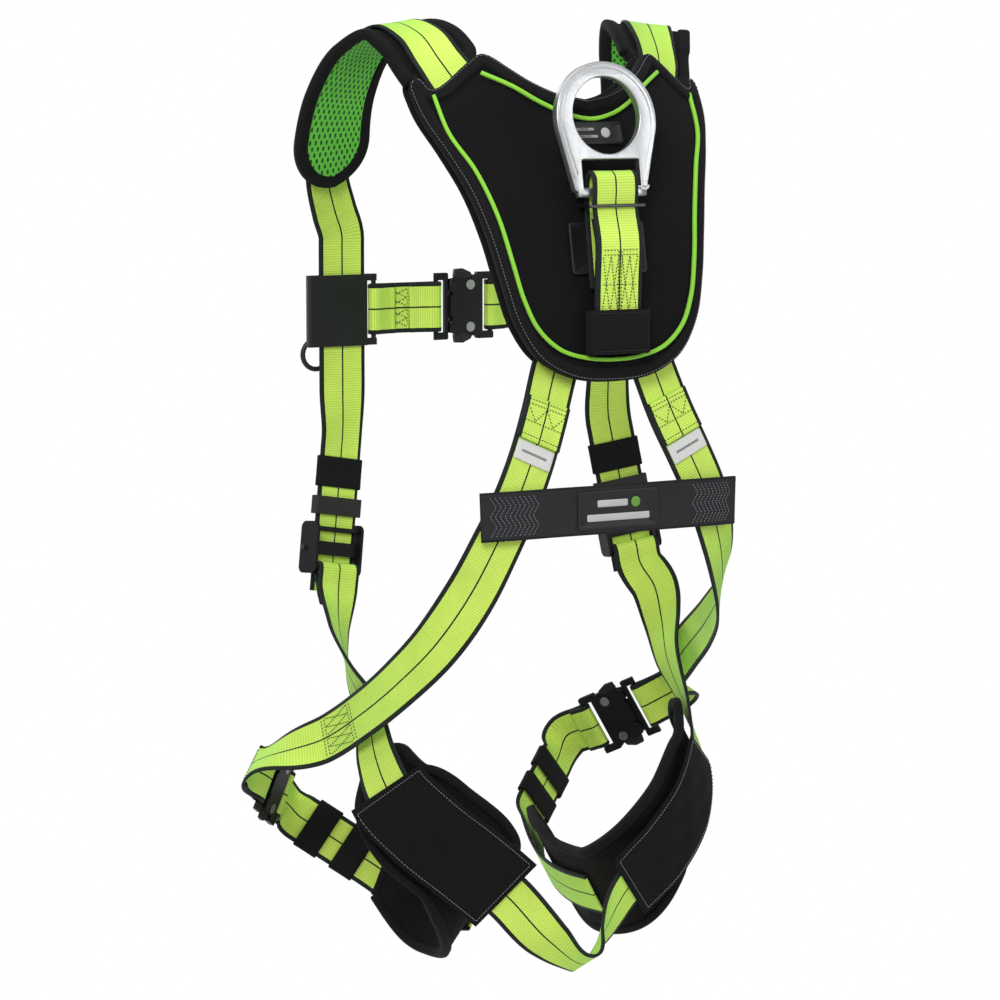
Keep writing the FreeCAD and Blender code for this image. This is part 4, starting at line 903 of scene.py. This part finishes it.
def cushion(name, verts, faces, body, seam, voxel=4.5, puff=4.0, cap=5.0):
    """Stuffed piece: the cut shape remeshed evenly, held along its seams, inflated as cloth,
    then smoothed once.  seam(q in mm) is true where thread holds the two skins together."""
    cut = put(name + "_cut", verts, faces, body)
    even = cut.modifiers.new("even", "REMESH")
    even.mode, even.voxel_size, even.use_smooth_shade = "VOXEL", voxel * MM, True
    mesh = bpy.data.meshes.new_from_object(cut.evaluated_get(bpy.context.evaluated_depsgraph_get()))
    bpy.data.objects.remove(cut)
    mesh.name = name
    o = bpy.data.objects.new(name, mesh)
    scene.collection.objects.link(o)
    rest = read(mesh.vertices, "co")
    held = o.vertex_groups.new(name="seam")
    held.add(np.nonzero(seam(rest / MM))[0].tolist(), 1.0, "REPLACE")
    cloth = o.modifiers.new("cloth", "CLOTH")
    cs = cloth.settings
    cs.use_pressure, cs.uniform_pressure_force = True, puff
    cs.quality, cs.mass, cs.bending_stiffness = 5, 0.3, 0.6
    cs.tension_stiffness = cs.compression_stiffness = 18.0
    cs.vertex_group_mass = "seam"
    cs.effector_weights.gravity = 0.0
    cloth.collision_settings.use_collision = False
    cloth.point_cache.frame_start, cloth.point_cache.frame_end = 1, CLOTH_FRAMES
    for f in range(1, CLOTH_FRAMES + 1):
        scene.frame_set(f)
    done = o.evaluated_get(bpy.context.evaluated_depsgraph_get()).to_mesh()
    move = read(done.vertices, "co") - rest
    far = np.linalg.norm(move, axis=1, keepdims=True)
    rest = rest + move * np.minimum(1.0, cap * MM / np.maximum(far, 1e-9))
    o.modifiers.clear()
    scene.frame_set(1)
    mesh.vertices.foreach_set("co", rest.ravel())
    mesh.polygons.foreach_set("use_smooth", [True] * len(mesh.polygons))
    o.modifiers.new("soft", "SUBSURF").levels = 1
    o.modifiers["soft"].render_levels = 1
    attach(o, body)
    return o


knit, gi, go = group("knit_grain", [("Dark", COL, (0, 0, 0, 1)), ("Light", COL, (0.1, 0.1, 0.1, 1)),
                                    ("Fine", VAL, 3400.0), ("Grid", VAL, 0.5)],
                     [("Color", COL), ("Height", VAL)])
at = node(knit, "ShaderNodeTexCoord").outputs["Object"]
part = node(knit, "ShaderNodeSeparateXYZ", {0: at}).outputs
yarn = [wave(knit, part[k], gi.outputs["Fine"]) for k in range(3)]
net = calc(knit, "ADD", calc(knit, "MULTIPLY", yarn[0], yarn[2]), calc(knit, "MULTIPLY", yarn[1], yarn[2]))
net = calc(knit, "MULTIPLY", net, gi.outputs["Grid"])
lint, bloom = noise(knit, 850.0, 3.0), noise(knit, 11.0, 5.0)
tone = calc(knit, "ADD", calc(knit, "MULTIPLY", lint, 0.55), calc(knit, "MULTIPLY", bloom, 0.6))
tone = calc(knit, "ADD", tone, calc(knit, "MULTIPLY", net, 0.22))
knit.links.new(mix(knit, tone, gi.outputs["Dark"], gi.outputs["Light"]), go.inputs["Color"])
knit.links.new(calc(knit, "ADD", net, lint), go.inputs["Height"])


def fabric_material(name, col, fine, grid):
    look = {"Roughness": 0.85, "Sheen Weight": 0.02, "Specular IOR Level": 0.15}
    return grained(name, knit, (0.5, 0.0004), look, Dark=dimmed(col, 0.4), Light=dimmed(col, 1.5),
                   Fine=fine, Grid=grid)


PAD_BLACK = fabric_material("pad_black", (0.0042, 0.0042, 0.0045, 1), 3400.0, 0.5)
RIM_TAPE = ribbed_material("rim_tape", (0.008, 0.008, 0.009, 1), 2200.0)
rim = rim_line(0.985, 1.5, -2.5, RIM_POINTS)
hub = np.array([0.0, -150.0])
shares = [1.0, 0.985, 0.93, 0.8, 0.6, 0.4, 0.2, 0.06]
front_d = [4.8, 2.4, 0.9, 0.4, 0.4, 0.4, 0.4, 0.4]
rear_d = [5.2, 7.6, 9.1, 9.6, 9.6, 9.6, 9.6, 9.6]


def skin(shares, depths):
    rings = []
    for r, d in zip(shares, depths):
        q = hub + (rim - hub) * r
        rings.append(np.column_stack([q[:, 0], back_y(q[:, 0], q[:, 1]) - d, q[:, 1]]))
    return rings


rings = skin(shares[::-1], front_d[::-1]) + skin(shares, rear_d)
verts = np.vstack(rings)
faces = inside_out(tube_faces(len(rings), RIM_POINTS))
pipe_half = [(128, -50), (124, -82), (110, -112), (98, -150), (90, -190), (83, -220), (72, -244),
             (52, -262), (26, -270), (0, -272)]
neck_half = [(88, -31), (66, -42), (44, -56), (22, -66), (0, -70)]


PIPES = [back_run(half + [(-x, z) for x, z in half[-2::-1]], -0.9) for half in (pipe_half, neck_half)]
sewn = np.vstack([r.at(np.arange(0, r.length, 3.0))[0] for r in PIPES])[:, [0, 2]]


def back_seam(q):
    """Within 3.5 mm of the piping or 5 mm of the rim, seen from behind."""
    def within(line, reach):
        return np.min(np.linalg.norm(q[:, None, [0, 2]] - line[None], axis=2), axis=1) < reach
    return within(sewn, 3.5) | within(rim, 5.0)


pad = cushion("back_pad", verts, faces, "harness", back_seam, puff=3.0, cap=3.0)
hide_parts("back_pad")
wear(pad, PAD_BLACK)


def tape_section(w, t, n=14):
    """Flattened round-edged tube, w wide and t thick."""
    a = np.linspace(0, 2 * np.pi, n, endpoint=False)[::-1]
    c, s = np.cos(a), np.sin(a)
    return np.column_stack([np.sign(c) * np.abs(c) ** 0.6 * w / 2, np.sign(s) * np.abs(s) ** 0.6 * t / 2])


def rim_tape(name, scale, top, low, depth, w, t):
    """Woven tape all round a rim, w wide and t thick; returns the line it follows."""
    q = rim_line(scale, top, low, 120)
    run = back_run(np.vstack([q, q[:2]]), depth)
    wear(strip(name, run, "harness", section=tape_section(w, t), row=3.0), RIM_TAPE)
    return run


edge_run = rim_tape("back_rim_tape", 0.965, 4.5, -6, 5.0, 12.5, 12.6)
stitch("back_rim_stitch", edge_run, [[(-3.6, 0), (-3.6, edge_run.length)]], thread=THREAD_GREY,
       slot="pad_black", rise=5.9, r=0.3)

# Piping: lime woven cord let into the seam.
m, t, p = material("piping_lime")
uv, u, v = uv_parts(t)
lay = calc(t, "SINE", calc(t, "ADD", calc(t, "MULTIPLY", v, 2600.0), calc(t, "MULTIPLY", u, 9.0)))
CORD = (0.30, 0.78, 0.03, 1)
# Painted shade: the cord's colour runs darker along the grooves of the lay, following the same sine as its
# bump.
t.links.new(mix(t, calc(t, "MULTIPLY_ADD", lay, 0.12, 0.8), dimmed(CORD, 0.5), CORD), p.inputs["Base Color"])
p.inputs["Roughness"].default_value = 0.6
p.inputs["Sheen Weight"].default_value = 0.2
bumped(t, p, lay, 0.4, 0.0003)
pipes = [strip("piping", r, "harness", section=tape_section(3.6, 3.4, 10), off=0.4, row=3.0) for r in PIPES]
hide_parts("back_piping")
wear(pipes, m)

# Lining: bright green spacer mesh against the wearer's back.

spacer, gi, go = group("spacer_mesh", [("Yarn", COL, (0, 1, 0, 1)), ("Deep", COL, (0, 0.6, 0, 1)),
                                       ("Hole", COL, (0, 0.1, 0, 1)), ("Across", VAL, 0.0),
                                       ("Along", VAL, 0.0)], [("Color", COL), ("Height", VAL)])
# Staggered round holes 6 mm apart, where a cosine across times a cosine along is high; they are painted a
# dark green, which is painted shade down in the holes.
dots = calc(spacer, "MULTIPLY", wave(spacer, gi.outputs["Across"], 1050.0, "COSINE"),
            wave(spacer, gi.outputs["Along"], 606.0, "COSINE"))
pit = node(spacer, "ShaderNodeMapRange", {0: dots, 1: 0.22, 2: 0.5, 3: 1.0, 4: 0.0}).outputs[0]
fine = noise(spacer, 1500.0, 2.0)
tone = calc(spacer, "ADD", calc(spacer, "MULTIPLY", fine, 0.6),
            calc(spacer, "MULTIPLY", noise(spacer, 25.0, 3.0), 0.4))
yarn = mix(spacer, tone, gi.outputs["Deep"], gi.outputs["Yarn"])
spacer.links.new(mix(spacer, pit, gi.outputs["Hole"], yarn), go.inputs["Color"])
spacer.links.new(calc(spacer, "ADD", pit, calc(spacer, "MULTIPLY", fine, 0.15)), go.inputs["Height"])


def mesh_material(name, planar):
    """planar lays the holes out on x and z, otherwise on the piece's own UV map in metres."""
    m, t, p = material(name)
    at = node(t, "ShaderNodeTexCoord").outputs["Object"]
    part = node(t, "ShaderNodeSeparateXYZ", {0: at}).outputs
    across, along = (part[0], part[2]) if planar else uv_parts(t)[1:]
    g = use(t, spacer, Yarn=dimmed(GREEN, 1.25), Deep=dimmed(GREEN, 0.6), Hole=HOLE_SHADE, Across=across,
            Along=along)
    t.links.new(g["Color"], p.inputs["Base Color"])
    p.inputs["Roughness"].default_value = 0.75
    p.inputs["Sheen Weight"].default_value = 0.2
    bumped(t, p, g["Height"], 0.9, 0.0014)
    return m


GREEN, HOLE_SHADE = (0.13, 0.66, 0.04, 1), (0.008, 0.075, 0.006, 1)
MESH_GREEN = mesh_material("mesh_green", planar=True)
PAD_MESH = mesh_material("pad_mesh_green", planar=False)
dress(["back_lining"], MESH_GREEN, 0.6)
rim_tape("lining_rim_tape", 0.955, 5, -5.5, 21.6, 11.0, 4.4)

# ------------------------------------------------------------------ shoulder pads
# Curved foam pads under the front webs: black knit outside, green spacer mesh against
# the wearer, a woven tape folded round the whole edge.


STATIONS, PAD_HALF = 200, 4.5


def pad_share(share):
    """Half width of the pad: drawn in at the seam, full, then rounded off at the tip."""
    seam = 0.95 + 0.05 * np.minimum(1.0, share / 0.2)
    tip = np.maximum(0.0, (share - 0.84) / 0.16)
    return 38.0 * seam * np.sqrt(np.maximum(0.02, 1.0 - tip * tip))


def eased(count):
    """Shares from 0 to 1, closer together toward both ends (half a cosine)."""
    return 0.5 - 0.5 * np.cos(np.linspace(0, np.pi, count))


def slab(run, s0, s1, half, thick, depth, rows=60, cols=17):
    """Closed flat body along a run: half(share) wide each side, thick, its middle depth below."""
    sh = eased(rows)
    c, t, w, n = run.at(s0 + (s1 - s0) * sh)
    turn = np.linspace(0, 2 * np.pi, 2 * cols, endpoint=False)
    a, b = np.cos(turn), np.sin(turn)
    b = np.sign(b) * np.abs(b) ** 0.35
    hw = half(sh)[:, None, None]
    v = c[:, None] + w[:, None] * a[None, :, None] * hw + n[:, None] * (b[None, :, None] * thick / 2 + depth)
    return v.reshape(-1, 3), tube_faces(rows, 2 * cols)


def outward(verts, faces):
    """Faces turned so that the closed body's volume is positive."""
    v = np.asarray(verts)
    vol = sum(np.dot(v[f[0]], np.cross(v[f[k]], v[f[k + 1]])) for f in faces for k in range(1, len(f) - 1))
    return inside_out(faces) if vol < 0 else faces


def nearest(run, s, q, depth=0.0):
    """For each point q: which of the run's stations s is nearest, the offset from it, and the
    run's forward, across and outward directions there."""
    c, t, w, n = run.at(s)
    c = c + n * depth
    k = np.argmin(np.linalg.norm(q[:, None] - c[None], axis=2), axis=1)
    return k, q - c[k], t[k], w[k], n[k]


def two_faced(o, run, s0, s1, material_in):
    """Gives the faces that look away from the run's outside the second material, and every
    vertex a UV of (across, along) in metres from the nearest point of the run."""
    me = o.data
    me.materials.append(material_in)
    s = np.linspace(s0, s1, STATIONS)
    n = nearest(run, s, read(me.polygons, "center") / MM)[4]
    inner = np.sum(read(me.polygons, "normal") * n, axis=1) < -0.45
    me.polygons.foreach_set("material_index", inner.astype(np.int32))
    k, off, t, w, n = nearest(run, s, read(me.vertices, "co") / MM)
    uv = np.column_stack([np.sum(off * w, axis=1), s[k] + np.sum(off * t, axis=1)]) * MM
    idx = np.zeros(len(me.loops), np.int32)
    me.loops.foreach_get("vertex_index", idx)
    me.uv_layers.new(name="UVMap").data.foreach_set("uv", uv[idx].astype(np.float32).ravel())


def edge_tape(name, run, s0, s1, half, depth, body, w, t, count=90):
    """Folded tape round a slab's edge, one closed loop starting at the seam end."""
    sh = eased(count)
    c, along, side, n = run.at(s0 + (s1 - s0) * sh)
    hw = half(sh)[:, None]
    mid = c + n * depth
    up, down = mid + side * hw, (mid - side * hw)[::-1]
    path, nor = np.vstack([up, down, up[:2]]), np.vstack([n, n[::-1], n[:2]])
    gap = np.concatenate([[True], np.linalg.norm(np.diff(path, axis=0), axis=1) > 1.2])
    o = strip(name, Run(path[gap], nor[gap]), body, section=tape_section(w, t), row=3.5)
    wear(o, RIM_TAPE)
    return o


for side in ("left", "right"):
    run = SHOULDER[side]
    s0, s1 = run.s[6] - 7.0, run.s[12] - 1.0
    depth = -(WEB_T / 2 + 0.4 + PAD_HALF)
    v, f = slab(run, s0, s1, pad_share, 7.4, depth)

    def pad_seam(q, run=run, s0=s0, s1=s1):
        s = np.linspace(s0, s1, STATIONS)
        k, off, t, w, n = nearest(run, s, q)
        side_off = np.abs(np.sum(off * w, axis=1))
        return (side_off > pad_share((s[k] - s0) / (s1 - s0)) - 7.0) | (k < 4)

    pad = cushion(side + "_shoulder_pad", v, outward(v, f), "harness", pad_seam, puff=3.0, cap=2.6)
    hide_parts(side + "_shoulder_pad")
    wear(pad, PAD_BLACK)
    two_faced(pad, run, s0, s1, PAD_MESH)
    edge_tape(side + "_shoulder_tape", run, s0 + 2, s1 - 1.5, lambda u: pad_share(u) - 3.5, depth, "harness",
              12.0, 9.6)

# ------------------------------------------------------------------ dorsal web
# A doubled web through the ring's slot: up behind the bar, over and down the outside,
# its end held in a fabric retainer.
PIVOT = np.array([0.0, 91.0, -131.0])
by, bz, fold = PIVOT[1], PIVOT[2], 4.0 + 0.4 + 1.2
low = back_y(0, -267) + 7.1
D_PTS = [(0, low, -263), (0, low, -240), (0, 104, -205), (0, 105, -172), (0, by + fold + 1.0, bz - 10),
         (0, by + fold + 1.5, bz + 4), (0, by + 5.0, bz + 14), (0, by, bz + 17), (0, by - 4.6, bz + 12),
         (0, by - fold - 0.6, bz), (0, by - fold, bz - 14), (0, back_y(0, -170) + 4.6, -170),
         (0, back_y(0, -212) + 4.0, -212)]
D_N = [(0, 1, 0), (0, 1, 0), (0, 1, 0), (0, 1, 0.05), (0, 1, 0), (0, 1, 0.2), (0, 0.5, 0.87), (0, -0.1, 1),
       (0, -0.9, 0.4), (0, -1, 0), (0, -1, 0), (0, -1, 0), (0, -1, 0)]
DORSAL = Run(D_PTS, D_N)
lime_web("dorsal_web", DORSAL, "harness", 2.0)
stitch("dorsal_stitch", DORSAL, x_box(27, 84) + across([55]) + [[(k, 27), (k, 84)] for k in (-1.5, 1.5)])
pts = [(0, low - 3.0, -262), (0, low - 3.0, -240), (0, 100.8, -205), (0, 101.6, -172),
       (0, by + fold - 1.4, bz - 22)]
under = strip("dorsal_web_inner", Run(pts, [(0, 1, 0)] * 5), "harness", width=44.0, thick=2.2, row=3.0)
wear(under, BLACK_WEB)

# ------------------------------------------------------------------ dorsal ring
# Forged and zinc-plated: a plate with a round eye over a slot, raised rims along its
# edge, and a round bar that the web folds over.
UP = np.array([0.0, -math.sin(math.radians(10)), math.cos(math.radians(10))])
FACE = np.cross([1.0, 0, 0], UP)


def ring_outline(inset, n=60):
    """Arch with straight sides tangent to it, down to two rounded feet."""
    r, cy, fx, foot = 49.0 - inset, 62.0, 37.5 - inset, 4.0
    reach = math.hypot(fx, cy)
    a = math.acos(r / reach) - math.acos(fx / reach)
    th = np.linspace(a, math.pi - a, n)
    arch = np.column_stack([r * np.cos(th), cy + r * np.sin(th)])
    corner = np.linspace(0, -math.pi / 2, 6)
    right = np.column_stack([fx - foot + foot * np.cos(corner), inset + foot + foot * np.sin(corner)])
    left = right[::-1] * [-1, 1]
    return np.vstack([left, right[::-1], arch])


def ring_place(q, z=0.0):
    return PIVOT + np.outer(q[:, 0], [1.0, 0, 0]) + np.outer(q[:, 1], UP) + FACE * z


def plate(name, loops, half, edge):
    """Flat plate from an outline and its holes, both faces and every edge rounded over."""
    cu = bpy.data.curves.new(name, "CURVE")
    cu.dimensions, cu.fill_mode = "2D", "BOTH"
    cu.extrude, cu.bevel_depth, cu.bevel_resolution = (half - edge) * MM, edge * MM, 3
    for q in loops:
        sp = cu.splines.new("POLY")
        sp.points.add(len(q) - 1)
        sp.points.foreach_set("co", np.column_stack([q * MM, np.zeros(len(q)), np.ones(len(q))]).ravel())
        sp.use_cyclic_u = True
    tmp = bpy.data.objects.new(name, cu)
    scene.collection.objects.link(tmp)
    bpy.context.view_layer.update()
    mesh = bpy.data.meshes.new_from_object(tmp.evaluated_get(bpy.context.evaluated_depsgraph_get()))
    bpy.data.objects.remove(tmp)
    turn = Matrix.Identity(4)
    for k in range(3):
        turn[k][0], turn[k][1], turn[k][2] = float(k == 0), UP[k], FACE[k]
        turn[k][3] = PIVOT[k] * MM
    mesh.transform(turn)
    o = bpy.data.objects.new(name, mesh)
    scene.collection.objects.link(o)
    return o


th = np.linspace(0, 2 * np.pi, 96, endpoint=False)
eye = np.column_stack([34.0 * np.cos(th), 65.0 + 34.0 * np.sin(th)])
slot = rounded_rect(59.0, 28.0, 3.0) + [0, 0.8 + 14.0]
ring = plate("dorsal_ring", [ring_outline(1.1), eye, slot], 4.0, 1.1)
ring.data.polygons.foreach_set("use_smooth", [True] * len(ring.data.polygons))
ring.modifiers.new("weld", "WELD").merge_threshold = 0.00002
ring.modifiers.new("sharp", "EDGE_SPLIT").split_angle = math.radians(32)
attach(ring, "ring")
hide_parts("dorsal_ring")
beads = []
for inset in (1.9, 5.6):
    for z in (3.95, -3.95):
        q = ring_outline(inset)
        low_r, low_l = q[11] + (q[12] - q[11]) * 0.12, q[0] + (q[-1] - q[0]) * 0.12
        path = ring_place(np.vstack([low_r, q[12:], low_l]), z)
        beads.append(strip("ring_rim", Run(path, np.tile(FACE * np.sign(z), (len(path), 1))), "ring",
                           section=tape_section(1.1, 0.9, 8), row=3.0))
bar_pts = [PIVOT + np.array([x, 0, 0]) for x in (-33.0, -20.0, 0.0, 20.0, 33.0)]
beads.append(strip("ring_bar", Run(bar_pts, [UP] * 5), "ring", section=tape_section(8.0, 8.0, 24), row=8.0))
ZINC = metal_material("ring_steel", (0.62, 0.63, 0.64, 1), 0.36, 1.0, (0.5, 0.51, 0.53, 1), 420.0)
wear([ring] + beads, ZINC)

# Wire link round the web below the ring.
DARK_WIRE = metal_material("link_steel", (0.12, 0.12, 0.125, 1), 0.3, 1.0, (0.3, 0.3, 0.3, 1))
dress(["dorsal_link"], DARK_WIRE, 0.1)

# ------------------------------------------------------------------ web retainer and patches
# Ribbed black fabric pocket sewn on the pad, and two moulded rubber patches.  The
# patches carry only plain shapes.
yb = back_y(0, -267)
loop = sleeve_band("web_retainer", np.array([0, yb + 7.1, -248.0]), np.array([0, 0, -1.0]),
                   np.array([1.0, 0, 0]), np.array([0, 1.0, 0]), "harness", 38.0, 8.0, 2.2, 28.5)
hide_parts("web_retainer")
face_run = Run([(0, yb + 7.1, z) for z in (-229, -240, -255, -267)], [(0, 1, 0)] * 4)
stitch("retainer_stitch", face_run, across((3, 35), 26), thread=THREAD_BLACK, slot="webbing_black", rise=6.2)
for name, z0, z1, w in (("back_patch", -200.0, -156.0, 74.0), ("dorsal_tag", -92.0, -72.0, 58.0)):
    zs = [z1, (z0 + z1) / 2, z0]
    run = Run([(0, back_y(0, z) + 0.5, z) for z in zs], [(0, 1, 0.2)] * 3)
    spin = on_run(run, run.length / 2, 0.0)
    o = badge(name, lambda q, spin=spin: spin(q[:, [1, 0, 2]] * [1, -1, 1]), w, z1 - z0, 3.0, 1.2,
              "harness", 0.5)
    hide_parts(name)
    wear(o, RUBBER)
    marks = [(-12, 0, 9, 9, 4.4), (9, 3.2, 26, 2.4, 1.1), (9, -3.2, 20, 2.4, 1.1)]
    if name == "back_patch":
        marks = [(-24, 12, 16, 4, 1.8), (-24, 4, 16, 4, 1.8), (-24, -10, 16, 3, 1.4)]
    for x, y, mw, mh, mr in marks:
        tip = badge(name + "_mark", lambda q, spin=spin, x=x, y=y: spin(
            np.column_stack([q[:, 1] + y, -(q[:, 0] + x), q[:, 2] + 0.9])), mw, mh, mr, 0.6, "harness")
        wear(tip, MARK_PALE)

# ------------------------------------------------------------------ leg pads
# Broad foam slings in black knit, quilted lengthways, edged with woven tape; a sleeve on
# the outside takes the pelvic web.
PAD_IN = {"left": [(58, -110, -774), (54, -60, -774), (64, -12, -762)],
          "right": [(-60, -112, -762), (-54, -60, -772), (-64, -12, -766)]}
PAD_IN_N = [(-0.85, -0.15, -0.5), (-0.85, 0.1, -0.5), (-0.6, 0.62, -0.5)]
LEG_STATIONS = 260
LEG_KNIT = fabric_material("leg_knit", (0.0065, 0.006, 0.006, 1), 1870.0, 0.9)


def leg_half(share):
    """Half width: full along the middle, eased down to 0.52 of it over the last 22 % of each end."""
    end = np.minimum(share, 1.0 - share) / 0.22
    return 49.5 * (0.52 + 0.48 * np.sin(np.minimum(1.0, end) * np.pi / 2))


for side in ("left", "right"):
    rear = HIP_IN[side][3:7][::-1]
    n = LEG_N[:1] + PAD_IN_N + HIP_IN_N[3:7][::-1]
    run = Run(LEG_RUN[side][:1] + PAD_IN[side] + (rear if side == "left" else flip(rear)),
              n if side == "left" else flip(n))
    depth = -(1.2 + 4.0 + 5.2)
    v, f = slab(run, 1.0, run.length - 1.0, leg_half, 6.8, depth)

    def leg_seam(q, run=run):
        s = np.linspace(0, run.length, LEG_STATIONS)
        k, off, t, w, n = nearest(run, s, q, depth)
        side_off = np.abs(np.sum(off * w, axis=1))
        edge = leg_half(s[k] / run.length) - 6.5
        quilt = np.abs(side_off - 19.0) < 2.4
        return (side_off > edge) | quilt | (k < 5) | (k > LEG_STATIONS - 6)

    pad = cushion(side + "_leg_pad", v, outward(v, f), "harness", leg_seam, puff=4.0, cap=3.2)
    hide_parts(side + "_leg_pad")
    wear(pad, LEG_KNIT)
    edge_tape(side + "_leg_tape", run, 4.0, run.length - 4.0, lambda u: leg_half(u) - 2.5, depth, "harness",
              9.0, 9.0)


def sleeve(name, run, s0, s1, body, half=38.0, rows=90, cols=30):
    """Sewn panel over the web: a thin closed body, domed between its side seams, with soft
    creases (sums of sines) that die out toward the stitching."""
    u = np.linspace(0, 1, rows)
    c, t, w, n = run.at(s0 + (s1 - s0) * u)
    a = np.linspace(-1, 1, cols)
    dome = (1 - a ** 4)[None] * 1.5 * np.minimum(1, np.minimum(u, 1 - u) / 0.08)[:, None]
    fade = (1 - a ** 6)[None] * np.sin(np.pi * u)[:, None]
    crease = (0.55 * np.sin(9.0 * a[None] + 14.0 * u[:, None])
              + 0.45 * np.sin(23.0 * u[:, None] - 5.0 * a[None]))
    top = 3.3 + dome + fade * crease
    low = np.full_like(top, 1.9)
    grid = []
    for z, turned in ((top, False), (low, True)):
        v = c[:, None] + w[:, None] * (a * half)[None, :, None] + n[:, None] * z[..., None]
        grid.append(v[:, ::-1] if turned else v)
    v = np.concatenate(grid, axis=1)
    v = v.reshape(-1, 3)
    return put(name, v, outward(v, tube_faces(rows, 2 * cols)), body)


for tag, s0, s1 in (("left", PELVIC.s[6] - 6.0, PELVIC.s[9] - 4.0),
                    ("right", PELVIC.s[13] + 4.0, PELVIC.s[16] + 6.0)):
    o = sleeve("leg_sleeve_" + tag, PELVIC, s0, s1, "harness")
    wear(o, LEG_KNIT)
    rows = [[(k, s0 + 5), (k, s1 - 5)] for k in (-34, 34)] + across((s0 + 5, s1 - 5), 34)
    stitch("sleeve_stitch_" + tag, PELVIC, rows, thread=THREAD_GREY, slot="pad_black", rise=4.2)
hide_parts("leg_sleeves")

# ------------------------------------------------------------------ floor
# Pale matt sheet well below the harness.  It sends light back up and is hidden from the
# camera, so the ground stays white.
v = np.array([(-6000, -6000, -1250), (6000, -6000, -1250), (6000, 6000, -1250), (-6000, 6000, -1250)], float)
mesh = bpy.data.meshes.new("floor")
mesh.from_pydata((v * MM).tolist(), [], [(0, 1, 2, 3)])
floor = bpy.data.objects.new("floor", mesh)
scene.collection.objects.link(floor)
floor.visible_camera = False
m, t, p = material("paper")
p.inputs["Base Color"].default_value = (0.85, 0.85, 0.85, 1)
p.inputs["Roughness"].default_value = 0.9
mesh.materials.append(m)
